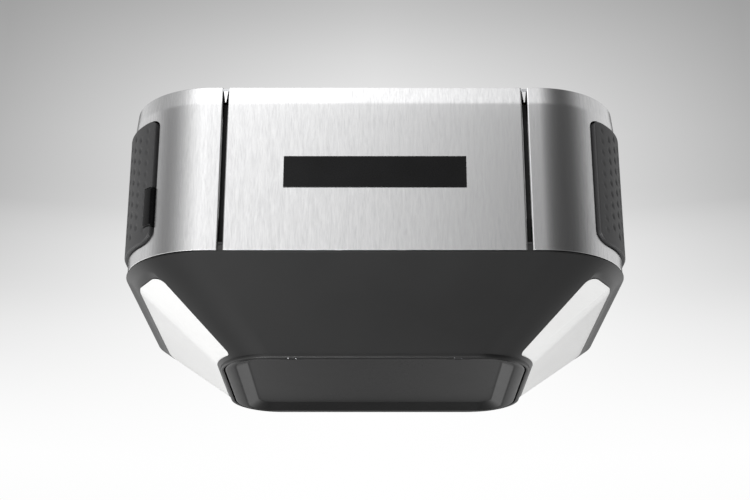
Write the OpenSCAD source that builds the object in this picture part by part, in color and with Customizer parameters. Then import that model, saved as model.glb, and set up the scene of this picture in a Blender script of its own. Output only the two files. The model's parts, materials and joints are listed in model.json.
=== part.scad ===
// Garage door opener head: a steel band with side covers, a tapered lower housing with a
// corner-to-corner light on each side, a worm-geared motor drive, electronics and a backup battery.
// The origin is the centre of the top plate's upper face, where the hanger brackets bolt on.
// +Z is up, +X is right and the badge faces -Y.

/* [Steel band] */
// Width of the band, side to side
body_w = 380; // [317:1:456]
// Depth of the band, front to back
body_d = 305; // [280:1:366]
// Height of the band
band_h = 131; // [126:1:157]
// Plan radius of the four corners
corner_r = 66; // [55:1:79]
// Thickness of the steel sheet of panels and covers
sheet_t = 1.2; // [0.8:0.1:1.4]
// Thickness of the top plate
plate_t = 2; // [1.5:0.1:3]
// Width of the front and rear centre panels
panel_w = 222.6; // [196:0.1:240]
// Width of the gap between a centre panel and a side cover
gap_w = 3.6; // [2.4:0.1:5]
// Depth of the folded return along each gap
return_d = 11; // [8:0.5:14]

/* [Lower housing] */
// Height of the tapered lower housing
taper_h = 62; // [58:1:75]
// How far each side slopes in
side_inset = 69; // [57:1:72]
// How far the front and the rear slope in
end_inset = 67; // [56:1:70]
// Plan radius of the bottom corners
base_r = 42; // [38:1:48]
// Wall of the housing, measured level
housing_wall = 4.2; // [3:0.1:5]
// How far the top lip stands proud of the band
lip_out = 0.8; // [0.3:0.1:1.5]
// Height of the vertical rim round the bottom
base_rim_h = 3; // [2.6:0.1:4]

/* [Side lights] */
// Level of the lens's upper edge below the band
lens_top_drop = 9.6; // [8:0.1:14]
// Level of the lens's lower edge above the bottom
lens_foot = 5; // [4:0.1:8]
// Thickness of the lens, measured level
lens_wall = 2.6; // [2:0.1:3]
// Gap round the lens
lens_gap = 0.4; // [0.2:0.1:0.8]
// Length of a light board, front to back
led_board_l = 150; // [120:1:156]
// Width of a light board, down the slope
led_board_w = 46; // [36:1:48]
// Light emitters in each row
led_columns = 9; // [4:1:12]

/* [Grips and badge] */
// Level of the grip's top edge below the top plate
grip_top = 20; // [16:1:30]
// Level of the grip's bottom edge above the band's lower edge
grip_foot = 12; // [11:1:20]
// How far the grip stands proud
grip_out = 3; // [1.5:0.1:4]
// How far the grip's front and rear edges lie from the band's front and rear
grip_end = 13.3; // [11:0.1:20]
// Gap round the grip
grip_gap = 1.4; // [0.6:0.1:2]
// Width of the badge plate
badge_w = 136; // [100:1:160]
// Height of the badge plate
badge_h = 25; // [18:1:30]
// Level of the badge's centre below the top plate
badge_drop = 69; // [50:1:80]
// Thickness of the badge plate
badge_t = 0.8; // [0.5:0.1:1.5]
// Width of the release tab on the left grip
tab_w = 8.4; // [6:0.1:10]
// Height of the release tab
tab_h = 31; // [24:1:36]
// Travel of the release tab
tab_travel = 1.5; // [0.8:0.1:2]

/* [Bottom door] */
// Gap round the door
door_gap = 1; // [1:0.1:1.2]
// Bevel round the door's lower edge
door_bevel = 1.2; // [1.1:0.1:1.4]
// Thickness of the door plate
door_t = 2.5; // [2:0.1:2.6]
// Depth of the pan pressed into the door
pan_depth = 4.5; // [3:0.1:5]
// Radius of the hinge barrels at the door's front edge
barrel_r = 1.9; // [1.8:0.1:2.1]
// Height of the hinge axis above the door's lower face
hinge_rise = 1; // [0.8:0.1:1]
// Radius of each hinge pin
pin_r = 1; // [0.8:0.05:1.1]
// Running clearance of a hinge pin, on the radius
pin_clear = 0.05; // [0.02:0.01:0.1]
// Distance of each hinge from the middle
hinge_x = 63; // [50:1:66]
// Width of each hinge lug
hinge_w = 5.4; // [4:0.1:8]

/* [Drive] */
// Teeth on the worm wheel
wheel_teeth = 32; // [28:4:36]
// Pitch radius of the worm wheel
wheel_r = 40; // [36:0.5:41]
// Half height of the wheel's and the worm's teeth
tooth_a = 1.4; // [1:0.1:1.6]
// Mean radius of the worm
worm_r = 5.5; // [5.3:0.1:6]
// Clearance between worm and wheel
mesh_gap = 0.5; // [0.4:0.1:0.8]
// Radius of the output shaft
output_r = 6; // [5:0.1:7]
// Radius of the motor shaft
shaft_r = 4; // [3:0.1:4.2]
// Running clearance of both shafts, on the radius
shaft_clear = 0.05; // [0.02:0.01:0.1]
// Outer radius of the motor can
can_r = 38; // [34:0.5:40]
// Length of the motor can
can_l = 74; // [70:1:78]
// Level of the motor's axis below the top plate
drive_drop = 45; // [44:1:50]
// Teeth on the drive sprocket
sprocket_teeth = 12; // [10:1:16]
// Outer radius of the drive sprocket
sprocket_r = 22; // [18:0.5:26]

/* [Mounting holes] */
// Spacing of the hanger bolts, side to side
hanger_x = 292; // [240:1:300]
// Spacing of the hanger bolts, front to back
hanger_y = 190; // [160:1:200]
// Radius of a hanger bolt hole
hanger_r = 4.4; // [3.5:0.1:5]
// Spacing of the two rail bolts
rail_pitch = 50; // [36:1:60]
// Radius of a rail bolt hole
rail_r = 3.4; // [3:0.1:4]
// Radius of the power cord's hole in its gland
cord_r = 4.1; // [3:0.1:5]

/* [Electronics] */
// Width of the battery
battery_w = 101; // [90:1:105]
// Depth of the battery
battery_d = 90; // [70:1:96]
// Height of the battery as it lies
battery_h = 68; // [50:1:70]
// Thickness of the circuit boards
board_t = 1.6; // [1:0.1:2]
// Travel of each push button
button_travel = 1.2; // [0.6:0.1:1.5]
// Radius of the round push buttons
button_r = 5; // [4:0.1:6]

/* [Hidden] */
$fn = 64;
HULL_FN = 48;
EPS = 0.01;
CLEAR = 0.4;              // gap between parts that move past each other

half_w = body_w / 2;
half_d = body_d / 2;
base_z = -band_h - taper_h;

// The lower housing starts just under the band, behind a thin shadow gap.
shadow_gap = 0.6;
lip_h = 1.6;
slope_top_z = -band_h - shadow_gap - lip_h;
slope_foot_z = base_z + base_rim_h;
slope_h = slope_top_z - slope_foot_z;
base_half_w = half_w - side_inset;
base_half_d = half_d - end_inset;
side_run = side_inset + lip_out;
slope_angle = atan2(slope_h, side_run);

// The inner ring locates the housing inside the band and carries the deck.
ring_in = sheet_t + 0.4;
ring_w = 4.4;
ring_top_z = -band_h + 5;
deck_t = 2;
deck_top_z = ring_top_z + deck_t;
return_foot_z = deck_top_z + 1;

lens_top_z = -band_h - lens_top_drop;
lens_foot_z = base_z + lens_foot;
corner_shift = half_w - half_d - 2.5;   // the lens ends on this corner diagonal

grip_top_z = -grip_top;
grip_foot_z = -band_h + grip_foot;
grip_half_d = half_d - grip_end;
grip_r_top = 5;
grip_r_foot = 9;
grip_flange = 4;
tab_angle = 225.5;                      // round the front left corner
tab_z = -band_h + 39.5;
corner_c = [-half_w + corner_r, -half_d + corner_r];

door_half_w = base_half_w - 3.8;
door_half_d = base_half_d - 2.3;
door_r = base_r - 5;
pan_half_w = door_half_w - 9.5;
pan_half_d = door_half_d - 4.2;
pan_floor_half_w = pan_half_w - 9;
pan_floor_half_d = pan_half_d - 13;
pan_r = 21;
pan_floor_r = 12;
pan_t = 2;
hinge_y = -door_half_d + barrel_r;
hinge_z = base_z + hinge_rise;
pin_l = 18;
barrel_l = 6;

wall = 2.5;
well_clear = 0.8;
battery_rise = 7.6;                     // how far the battery stands above the deck
battery_foot_z = max(base_z + pan_depth + pan_t + 2.1, deck_top_z + battery_rise - battery_h);
well_half_w = battery_w / 2 + well_clear;
well_half_d = battery_d / 2 + well_clear;
strap_top_z = battery_foot_z + 0.1;
well_top_z = battery_foot_z + battery_h + 1;

wheel_y = 40;
drive_z = -drive_drop;
worm_pitch = 2 * PI * wheel_r / wheel_teeth;
motor_y = wheel_y - wheel_r - worm_r - mesh_gap;
worm_turns = 4;
worm_bore_r = 3;
worm_start = -(floor(worm_turns / 2) + 0.75) * worm_pitch;
wheel_w = 14;
case_wall = 4;
case_r = wheel_r + tooth_a + 3 + case_wall;
case_top_z = drive_z + 16;
case_foot_z = drive_z - 16;
cover_t = 4;
cover_half_w = 48;
cover_front = -18;
cover_rear = 94;
boss_r = 13;
bush_r = output_r + 3;
bush_l = 12;
boss_top_z = case_top_z + cover_t + 17;
boss_foot_z = case_foot_z - 11;
tunnel_r = worm_r + tooth_a + 2.4;
tunnel_half = 14;
tunnel_end = 40;
bell_t = 8;
bell_front = -50;                       // where the motor bolts to the gear case
can_front = bell_front - bell_t;
can_rear = can_front - can_l;
bell_rear = can_rear - bell_t;
can_wall = 2;
bearing_r = 9;
core_r = can_r - 9;
core_front = can_front - 13;
core_rear = core_front - 41;
commutator_front = core_rear - 9;
commutator_rear = can_rear + 2;
commutator_r = 10;
cup_r = 14;
cup_front = bell_rear - 4.5;
cup_rear = cup_front - 9.5;
shaft_rear = cup_front - 4;

isolator_x = 38;
isolator_y = [-7, 84];
isolator_r = 9;
bolt_r = 3;

sprocket_foot_z = 5;
sprocket_t = 8;
shaft_top_z = sprocket_foot_z + sprocket_t + 8;

logic_y = half_d - 18.5;                // inner face of the logic board
logic_x = [-104, 56];
logic_z = [-104, -24];
bezel_t = 2.5;
bezel_x = [-99, -15];
bezel_z = [-95, -51];
switch_h = 3.8;
button_inner_y = logic_y + board_t + switch_h + button_travel + 0.3;
up_pos = [-80, -62.5];
down_pos = [-80, -83.5];
adjust_pos = [-57, -73];
learn_pos = [-34, -73];
adjust_w = 12;
terminal_x = [2, 42];
terminal_z = [-90, -70];
gland_pos = [84, -95];
gland_r = 9.5;

power_x = [66, 150];
// The power board's rear posts stand behind the hanger nuts, or in front of them in a short body.
power_rear = hanger_y / 2 + 17;
power_y = [30, power_rear <= half_d - 24 ? power_rear : hanger_y / 2 - 7];
power_z = -52;
core_pos = [112, -30];
core_w = 66;
core_d = 36;
core_h = 56;
limb = 11;

led_gap = 14;                           // from the sloped face to the light board
tab_l = 14;
tab_wd = 20;
screw_spots = [for (sx = [-1, 1]) for (sy = [-1, 1]) [sx * (half_w - sheet_t - tab_l / 2), sy * 55],
               for (sx = [-1, 1]) for (sy = [-1, 1]) [sx * 70, sy * (half_d - 2 * sheet_t - tab_l / 2)]];

// ---------------------------------------------------------------- outlines and helpers

module rounded_rect(hx, hy, r) {
    square([2 * (hx - r), 2 * hy], center = true);
    square([2 * hx, 2 * (hy - r)], center = true);
    for (sx = [-1, 1]) for (sy = [-1, 1])
        translate([sx * (hx - r), sy * (hy - r)]) circle(r = r);
}

// Outline of the band, moved in by a distance
module plan(in = 0) {
    rounded_rect(half_w - in, half_d - in, corner_r - in);
}

module band_wall(in, out, z0, z1) {
    translate([0, 0, z0]) linear_extrude(z1 - z0) difference() {
        plan(in);
        plan(out);
    }
}

// A block between two corners
module block(a, b) {
    translate(a) cube(b - a);
}

module x_cylinder(x0, x1, r) {
    translate([x0, motor_y, drive_z]) rotate([0, 90, 0]) cylinder(r = r, h = x1 - x0);
}

module y_cylinder(pos, y0, y1, r) {
    translate([pos.x, y0, pos.y]) rotate([-90, 0, 0]) cylinder(r = r, h = y1 - y0);
}

module rod(a, b, r) {
    d = b - a;
    translate(a) rotate([0, acos(d.z / norm(d)), atan2(d.y, d.x)]) cylinder(r = r, h = norm(d), $fn = 16);
}

// A wire along straight runs, with a slightly larger ball at each bend
module wire(points, r) {
    for (i = [0 : len(points) - 2]) rod(points[i], points[i + 1], r);
    for (i = [1 : len(points) - 2]) translate(points[i]) sphere(r = r * 1.12, $fn = 16);
}

// The tapered body of the lower housing, moved in by a level distance
module taper(in) {
    hull() {
        translate([0, 0, slope_foot_z]) linear_extrude(EPS)
            rounded_rect(base_half_w - in, base_half_d - in, base_r - in, $fn = HULL_FN);
        translate([0, 0, slope_top_z - EPS]) linear_extrude(EPS)
            rounded_rect(half_w + lip_out - in, half_d + lip_out - in, corner_r + lip_out - in,
                $fn = HULL_FN);
    }
}

// Everything to one side of the body between the two corner diagonals
module lens_zone(side, shrink) {
    shift = corner_shift + shrink * sqrt(2);
    reach = half_w + 10;
    mirror([side > 0 ? 1 : 0, 0, 0])
        translate([0, 0, lens_foot_z + shrink]) linear_extrude(lens_top_z - lens_foot_z - 2 * shrink)
            polygon([[-shift, 0], [-reach, reach - shift], [-reach, shift - reach]]);
}

// Side view of a grip: a rounded plate from the front corner to the rear corner
module grip_zone(side, grow) {
    half = grip_half_d + grow;
    z0 = grip_foot_z - grow;
    z1 = grip_top_z + grow;
    x0 = side > 0 ? half_w - corner_r : -half_w - 10;
    translate([x0, 0, 0]) rotate([90, 0, 90]) linear_extrude(corner_r + 10) difference() {
        translate([-half, z0]) square([2 * half, z1 - z0]);
        for (s = [-1, 1]) {
            translate([s * half, z0]) corner_cut(-s, 1, grip_r_foot + grow);
            translate([s * half, z1]) corner_cut(-s, -1, grip_r_top + grow);
        }
    }
}

// What a rounding takes from a square corner that lies at the origin
module corner_cut(sx, sy, r) {
    difference() {
        translate([sx > 0 ? -1 : -r, sy > 0 ? -1 : -r]) square(r + 1);
        translate([sx * r, sy * r]) circle(r = r);
    }
}

// Moves to the slope of one side light: X across the board, Y along it, Z outward
module on_slope(side) {
    mirror([side > 0 ? 1 : 0, 0, 0])
        translate([-(half_w + base_half_w) / 2, 0, (slope_top_z + slope_foot_z) / 2])
            rotate([0, slope_angle - 180, 0]) children();
}

function wave(r, a, n, steps) =
    [for (i = [0 : n * steps - 1])
        let (t = 360 * i / (n * steps), q = r + a * cos(n * t)) [q * cos(t), q * sin(t)]];

// ---------------------------------------------------------------- steel band

module top_chassis() {
    color("silver") difference() {
        union() {
            translate([0, 0, -plate_t]) linear_extrude(plate_t) plan(sheet_t);
            for (s = [-1, 1]) for (x = [-94, 0, 94])
                translate([x, s * (half_d - sheet_t - plate_t / 2), -7])
                    cube([24, plate_t, 14 - EPS], center = true);
        }
        hanger_holes(hanger_r);
        rail_holes(rail_r);
        translate([0, wheel_y, -plate_t - 1]) cylinder(r = output_r + 8, h = plate_t + 2);
        for (x = [-isolator_x, isolator_x]) for (y = isolator_y)
            translate([x, y, -plate_t - 1]) cylinder(r = bolt_r + 0.3, h = plate_t + 2);
        for (p = screw_spots) translate([p.x, p.y, -plate_t - 1]) cylinder(r = 2.3, h = plate_t + 2);
    }
}

module hanger_holes(r) {
    for (x = [-1, 1]) for (y = [-1, 1])
        translate([x * hanger_x / 2, y * hanger_y / 2, -20]) cylinder(r = r, h = 21);
}

module rail_holes(r) {
    for (s = [-1, 1]) translate([0, -85 + s * rail_pitch / 2, -20]) cylinder(r = r, h = 21);
}

module weld_nuts() {
    nut_h = 7;
    color("gray") difference() {
        for (x = [-1, 1]) for (y = [-1, 1])
            translate([x * hanger_x / 2, y * hanger_y / 2, -plate_t - nut_h])
                cylinder(r = 8, h = nut_h, $fn = 6);
        hanger_holes(hanger_r);
    }
    color("gray") difference() {
        for (s = [-1, 1])
            translate([0, -85 + s * rail_pitch / 2, -plate_t - nut_h]) cylinder(r = 7, h = nut_h, $fn = 6);
        rail_holes(rail_r);
    }
}

// A centre panel on the front; its returns line the gaps and two tabs take screws
module centre_panel() {
    half = panel_w / 2;
    difference() {
        union() {
            block([-half, -half_d, -band_h], [half, -half_d + sheet_t, 0]);
            for (s = [-1, 1]) {
                x0 = s > 0 ? half - sheet_t : -half;
                block([x0, -half_d, return_foot_z], [x0 + sheet_t, -half_d + return_d, -plate_t]);
                block([s * 70 - tab_wd / 2, -half_d + EPS, -plate_t - sheet_t],
                      [s * 70 + tab_wd / 2, -half_d + 2 * sheet_t + tab_l, -plate_t]);
            }
        }
        for (p = screw_spots) translate([p.x, p.y, -20]) cylinder(r = 2, h = 21);
    }
}

module front_panel() {
    color("lightgray") centre_panel();
}

module rear_panel() {
    color("lightgray") difference() {
        mirror([0, 1, 0]) centre_panel();
        for (p = [up_pos, down_pos, learn_pos])
            y_cylinder(p, half_d - 3, half_d + 1, button_r + 1.5);
        block([adjust_pos.x - adjust_w / 2 - 1.5, half_d - 3, adjust_pos.y - button_r - 1.5],
              [adjust_pos.x + adjust_w / 2 + 1.5, half_d + 1, adjust_pos.y + button_r + 1.5]);
        block([terminal_x[0] - CLEAR, half_d - 3, terminal_z[0] - CLEAR],
              [terminal_x[1] + CLEAR, half_d + 1, terminal_z[1] + CLEAR]);
        y_cylinder(gland_pos, half_d - 3, half_d + 1, gland_r + 0.2);
        for (k = [0 : 5]) block([56, half_d - 3, -56 + 5 * k], [98, half_d + 1, -53.4 + 5 * k]);
    }
}

module side_cover(side) {
    edge = panel_w / 2 + gap_w;
    color("lightgray") difference() {
        union() {
            intersection() {
                band_wall(0, sheet_t, -band_h, 0);
                block([side > 0 ? edge : -half_w - 1, -half_d - 1, -band_h - 1],
                      [side > 0 ? half_w + 1 : -edge, half_d + 1, 1]);
            }
            for (s = [-1, 1]) {
                x0 = side > 0 ? edge : -edge - sheet_t;
                y0 = s > 0 ? half_d - return_d : -half_d + EPS;
                block([x0, y0, return_foot_z], [x0 + sheet_t, y0 + return_d - EPS, -plate_t]);
                x1 = side > 0 ? half_w - sheet_t - tab_l : -half_w + EPS;
                block([x1, s * 55 - tab_wd / 2, -plate_t - sheet_t],
                      [x1 + sheet_t + tab_l - EPS, s * 55 + tab_wd / 2, -plate_t]);
            }
        }
        grip_zone(side, grip_gap);
        for (p = screw_spots) translate([p.x, p.y, -20]) cylinder(r = 2, h = 21);
    }
}

module left_cover() { side_cover(-1); }

module right_cover() { side_cover(1); }

// Dark strips at the bottom of the four gaps
module panel_seals() {
    x0 = panel_w / 2;
    color("black") for (sx = [-1, 1]) for (sy = [-1, 1])
        translate([sx * (x0 + gap_w / 2), sy * (half_d - (return_d + 3) / 2), (return_foot_z - plate_t) / 2])
            cube([gap_w - 0.1, return_d - 3, -return_foot_z - plate_t], center = true);
}

module panel_screws() {
    color("gray") for (p = screw_spots) translate([p.x, p.y, 0]) {
        cylinder(r = 4, h = 2);
        translate([0, 0, -8]) cylinder(r = 1.95, h = 8 + EPS);
    }
}

// ---------------------------------------------------------------- grips and badge

module side_grip(side) {
    color("dimgray") difference() {
        union() {
            intersection() {
                band_wall(-grip_out, ring_in + 1, -band_h, 0);
                grip_zone(side, 0);
            }
            intersection() {
                band_wall(ring_in, ring_in + 2, -band_h, 0);
                grip_zone(side, grip_flange);
            }
        }
        if (side < 0) tab_pocket();
    }
}

module left_grip() { side_grip(-1); }

module right_grip() { side_grip(1); }

module tab_block(r0, r1, w, h) {
    translate([corner_c.x, corner_c.y, tab_z]) rotate([0, 0, tab_angle])
        translate([r0, -w / 2, -h / 2]) cube([r1 - r0, w, h]);
}

module tab_pocket() {
    tab_block(corner_r - 6 - tab_travel, corner_r + 10, tab_w + 2 * CLEAR, tab_h + 2 * CLEAR);
}

module release_tab() {
    color("black") tab_block(corner_r - 3, corner_r + grip_out + 0.8, tab_w, tab_h);
}

module badge_plate() {
    color("black") translate([0, -half_d - badge_t / 2, -badge_drop])
        cube([badge_w, badge_t, badge_h], center = true);
}

// ---------------------------------------------------------------- lower housing and lights

module lower_housing() {
    color("#2d2d2d") difference() {
        union() {
            difference() {
                taper(0);
                taper(housing_wall);
            }
            translate([0, 0, slope_top_z - EPS]) linear_extrude(lip_h + EPS) difference() {
                plan(-lip_out);
                plan(ring_in + ring_w);
            }
            band_wall(ring_in, ring_in + ring_w, slope_top_z, ring_top_z);
            translate([0, 0, base_z]) linear_extrude(base_rim_h + EPS) difference() {
                rounded_rect(base_half_w, base_half_d, base_r);
                door_outline(door_gap);
            }
            for (s = [-1, 1]) hinge_lug(s * hinge_x);
        }
        translate([0, 0, base_z + base_rim_h - EPS]) linear_extrude(4) difference() {
            door_outline(door_gap);
            for (s = [-1, 1])
                translate([s * hinge_x - hinge_w / 2, -half_d]) square([hinge_w, half_d + hinge_y]);
        }
        lens_zone(-1, 0);
        lens_zone(1, 0);
        for (s = [-1, 1]) hinge_bore(s * hinge_x, pin_r);
    }
}

// An ear on the front rim that carries one hinge pin
module hinge_lug(x) {
    translate([x - hinge_w / 2, 0, 0]) {
        translate([0, hinge_y, hinge_z]) rotate([0, 90, 0]) cylinder(r = barrel_r, h = hinge_w);
        translate([0, -door_half_d - door_gap - 0.2, base_z])
            cube([hinge_w, barrel_r + door_gap + 0.2, hinge_rise + barrel_r]);
    }
}

module hinge_bore(x, r) {
    translate([x - 20, hinge_y, hinge_z]) rotate([0, 90, 0]) cylinder(r = r, h = 40);
}

module hinge_pins() {
    color("silver") for (s = [-1, 1])
        translate([s * hinge_x - pin_l / 2, hinge_y, hinge_z]) rotate([0, 90, 0])
            cylinder(r = pin_r, h = pin_l);
}

module side_lens(side) {
    color("white") intersection() {
        difference() {
            taper(0.3);
            taper(0.3 + lens_wall);
        }
        lens_zone(side, lens_gap);
    }
}

module left_lens() { side_lens(-1); }

module right_lens() { side_lens(1); }

module led_board(side) {
    color("white") on_slope(side) translate([-led_board_w / 2, -led_board_l / 2, -led_gap - board_t])
        cube([led_board_w, led_board_l, board_t]);
}

module left_led_board() { led_board(-1); }

module right_led_board() { led_board(1); }

module leds() {
    pitch = (led_board_l - 16) / (led_columns - 1);
    color("lightyellow") for (side = [-1, 1]) on_slope(side)
        for (row = [-1, 1]) for (k = [0 : led_columns - 1])
            translate([row * led_board_w / 4, -led_board_l / 2 + 8 + k * pitch, -led_gap])
                cylinder(r = 2.2, h = 1.2, $fn = 24);
}

// ---------------------------------------------------------------- bottom door

module door_outline(grow) {
    rounded_rect(door_half_w + grow, door_half_d + grow, door_r + grow);
}

module bottom_door() {
    cut = hinge_w / 2 + 0.3;
    color("#3c3c3c") difference() {
        union() {
            translate([0, 0, base_z + door_bevel]) linear_extrude(door_t - door_bevel) door_outline(0);
            hull() {
                translate([0, 0, base_z]) linear_extrude(EPS) door_outline(-door_bevel, $fn = HULL_FN);
                translate([0, 0, base_z + door_bevel]) linear_extrude(EPS) door_outline(0, $fn = HULL_FN);
            }
            hull() {
                translate([0, 0, base_z + 0.5]) linear_extrude(EPS)
                    rounded_rect(pan_half_w + 2, pan_half_d + 1, pan_r, $fn = HULL_FN);
                translate([0, 0, base_z + pan_depth + pan_t - EPS]) linear_extrude(EPS)
                    rounded_rect(pan_floor_half_w + 2, pan_floor_half_d + 2, pan_floor_r + 2, $fn = HULL_FN);
            }
            for (s = [-1, 1]) translate([s * hinge_x - cut - barrel_l, hinge_y, hinge_z]) rotate([0, 90, 0])
                cylinder(r = barrel_r, h = 2 * (cut + barrel_l));
        }
        hull() {
            translate([0, 0, base_z - 1]) linear_extrude(EPS)
                rounded_rect(pan_half_w + 2, pan_half_d + 2, pan_r, $fn = HULL_FN);
            translate([0, 0, base_z + pan_depth - EPS]) linear_extrude(EPS)
                rounded_rect(pan_floor_half_w, pan_floor_half_d, pan_floor_r, $fn = HULL_FN);
        }
        for (s = [-1, 1]) {
            block([s * hinge_x - cut, -door_half_d - 1, base_z - 2],
                  [s * hinge_x + cut, hinge_y + barrel_r + CLEAR, base_z + pan_depth + pan_t + 2]);
            hinge_bore(s * hinge_x, pin_r + pin_clear);
        }
    }
}

module door_latch() {
    color("#3c3c3c") translate([-9, door_half_d - 3.5, base_z + door_t - EPS]) {
        cube([18, 2.2, 9]);
        translate([0, 0, 4]) cube([18, 3.3, 2.5]);
    }
}

// ---------------------------------------------------------------- deck and battery

module inner_deck() {
    slot = [20, 12];
    color("#202020") difference() {
        union() {
            translate([0, 0, ring_top_z]) linear_extrude(deck_t) plan(ring_in + 0.3);
            block([-well_half_w - wall, -well_half_d - wall, strap_top_z],
                  [well_half_w + wall, well_half_d + wall, well_top_z + deck_t]);
            for (side = [-1, 1]) for (y = [-50, 50]) light_bracket(side, y);
        }
        block([-well_half_w, -well_half_d, battery_foot_z - 1], [well_half_w, well_half_d, well_top_z]);
        for (sx = [-1, 1]) translate([sx * 112, 60, ring_top_z]) cube([slot.x, slot.y, 10], center = true);
        block([well_half_w - 1, -18, deck_top_z + 1], [well_half_w + wall + 1, 18, well_top_z - 1]);
        block([70, -18, ring_top_z - 1], [82, 18, deck_top_z + 1]);
    }
}

// A rib under the deck, cut to the slope of the light board that it carries
module light_bracket(side, y) {
    mirror([side > 0 ? 1 : 0, 0, 0]) translate([0, y + 2, 0]) rotate([90, 0, 0]) linear_extrude(4)
        intersection() {
            translate([-half_w + 25, slope_foot_z + 18]) square([56, ring_top_z - slope_foot_z - 18 + EPS]);
            translate([-(half_w + base_half_w) / 2, (slope_top_z + slope_foot_z) / 2])
                rotate(180 - slope_angle) translate([-100, -led_gap - board_t - 60])
                    square([200, 60]);
        }
}

module battery() {
    hw = battery_w / 2;
    hd = battery_d / 2;
    color("#30343a") {
        block([-hw, -hd, battery_foot_z + 0.3], [hw, hd, battery_foot_z + battery_h]);
    }
    color("silver") for (y = [-12, 12])
        block([hw, y - 3, deck_top_z + 3], [hw + 3, y + 3, deck_top_z + 4]);
}

module battery_retainer() {
    z1 = strap_top_z;
    color("silver") difference() {
        union() {
            block([-8, -well_half_d - wall - 1.4, z1 - 1.4], [8, well_half_d + wall + 1.4, z1]);
            for (s = [-1, 1]) {
                y0 = s > 0 ? well_half_d + wall : -well_half_d - wall - 1.4;
                block([-8, y0, z1 - 1.4], [8, y0 + 1.4, z1 + 22]);
            }
        }
        block([-well_half_w, -well_half_d - wall, z1], [well_half_w, well_half_d + wall, z1 + 1]);
    }
}

module battery_leads() {
    x0 = battery_w / 2 + 4.2;
    color("firebrick") for (y = [-12, 12])
        wire([[x0, y, deck_top_z + 3.5], [75, y, deck_top_z + 3.5], [75, y, -100 + y / 4],
              [75, logic_y - 6, -100 + y / 4], [50 + y / 3, logic_y - 6, -100 + y / 4],
              [50 + y / 3, logic_y - 0.2, -100 + y / 4]], 1.1);
}

// ---------------------------------------------------------------- gear drive

module gear_case() {
    color("darkgray") difference() {
        union() {
            translate([0, wheel_y, case_foot_z]) cylinder(r = case_r, h = case_top_z - case_foot_z);
            translate([0, wheel_y, boss_foot_z]) cylinder(r = boss_r, h = case_foot_z - boss_foot_z + 1);
            block([bell_front, motor_y - tunnel_half, drive_z - tunnel_half],
                  [tunnel_end, motor_y + tunnel_half, case_top_z]);
        }
        translate([0, wheel_y, case_foot_z + case_wall]) cylinder(r = case_r - case_wall, h = 60);
        translate([0, wheel_y, boss_foot_z - 1]) cylinder(r = bush_r, h = 30);
        x_cylinder(bell_front - 1, tunnel_end - 7, tunnel_r);
        x_cylinder(tunnel_end - 8, tunnel_end + 1, worm_bore_r + 3);
    }
}

module gear_case_cover() {
    color("darkgray") difference() {
        union() {
            block([-cover_half_w, cover_front, case_top_z], [cover_half_w, cover_rear, case_top_z + cover_t]);
            translate([0, wheel_y, case_top_z]) cylinder(r = boss_r, h = boss_top_z - case_top_z);
        }
        translate([0, wheel_y, case_top_z - 1]) cylinder(r = bush_r, h = 40);
        for (x = [-isolator_x, isolator_x]) for (y = isolator_y)
            translate([x, y, case_top_z + 1]) cylinder(r = bolt_r + 0.05, h = cover_t);
    }
}

module shaft_bushings() {
    color("peru") for (z = [boss_foot_z, boss_top_z - bush_l])
        translate([0, wheel_y, z]) difference() {
            cylinder(r = bush_r, h = bush_l);
            translate([0, 0, -1]) cylinder(r = output_r + shaft_clear, h = bush_l + 2);
        }
    color("peru") difference() {
        x_cylinder(tunnel_end - 6, tunnel_end, worm_bore_r + 3);
        x_cylinder(tunnel_end - 7, tunnel_end + 1, worm_bore_r + shaft_clear);
    }
}

module worm_wheel() {
    color("ivory") translate([0, wheel_y, drive_z - wheel_w / 2]) difference() {
        linear_extrude(wheel_w) polygon(wave(wheel_r, tooth_a, wheel_teeth, 8));
        translate([0, 0, -1]) cylinder(r = output_r, h = wheel_w + 2);
        for (z = [-1, wheel_w - 3]) translate([0, 0, z]) difference() {
            cylinder(r = wheel_r - 8, h = 4);
            cylinder(r = output_r + 6, h = 4);
        }
    }
}

module output_shaft() {
    color("silver") translate([0, wheel_y, boss_foot_z - 4])
        cylinder(r = output_r, h = shaft_top_z - boss_foot_z + 4);
}

module drive_sprocket() {
    color("dimgray") translate([0, wheel_y, sprocket_foot_z]) difference() {
        union() {
            linear_extrude(sprocket_t) polygon(wave(sprocket_r - 2, 2, sprocket_teeth, 8));
            translate([0, 0, sprocket_t - 1]) cylinder(r = output_r + 5, h = 6);
        }
        translate([0, 0, -1]) cylinder(r = output_r, h = sprocket_t + 12);
    }
}

// ---------------------------------------------------------------- motor

module motor_can() {
    color("gray") difference() {
        x_cylinder(can_rear, can_front, can_r);
        x_cylinder(can_rear - 1, can_front + 1, can_r - can_wall);
    }
}

module bell(x0, x1, seat0, seat1) {
    color("darkgray") difference() {
        x_cylinder(x0, x1, can_r);
        x_cylinder(x0 - 1, x1 + 1, shaft_r + 2);
        x_cylinder(seat0, seat1, bearing_r);
    }
}

module motor_front_bell() { bell(can_front, bell_front, can_front - 1, can_front + 5); }

module motor_rear_bell() { bell(bell_rear, can_rear, can_rear - 5, can_rear + 1); }

module motor_bearings() {
    color("silver") for (x = [can_front, can_rear - 5]) difference() {
        x_cylinder(x, x + 5, bearing_r);
        x_cylinder(x - 1, x + 6, shaft_r + shaft_clear);
    }
}

module motor_magnets() {
    color("#333333") intersection() {
        difference() {
            x_cylinder(core_rear - 2, core_front + 2, can_r - can_wall);
            x_cylinder(core_rear - 3, core_front + 3, core_r + 1.5);
        }
        for (s = [-1, 1])
            translate([(core_rear + core_front) / 2, motor_y + s * can_r, drive_z])
                cube([60, 1.4 * can_r, 1.5 * can_r], center = true);
    }
}

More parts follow.
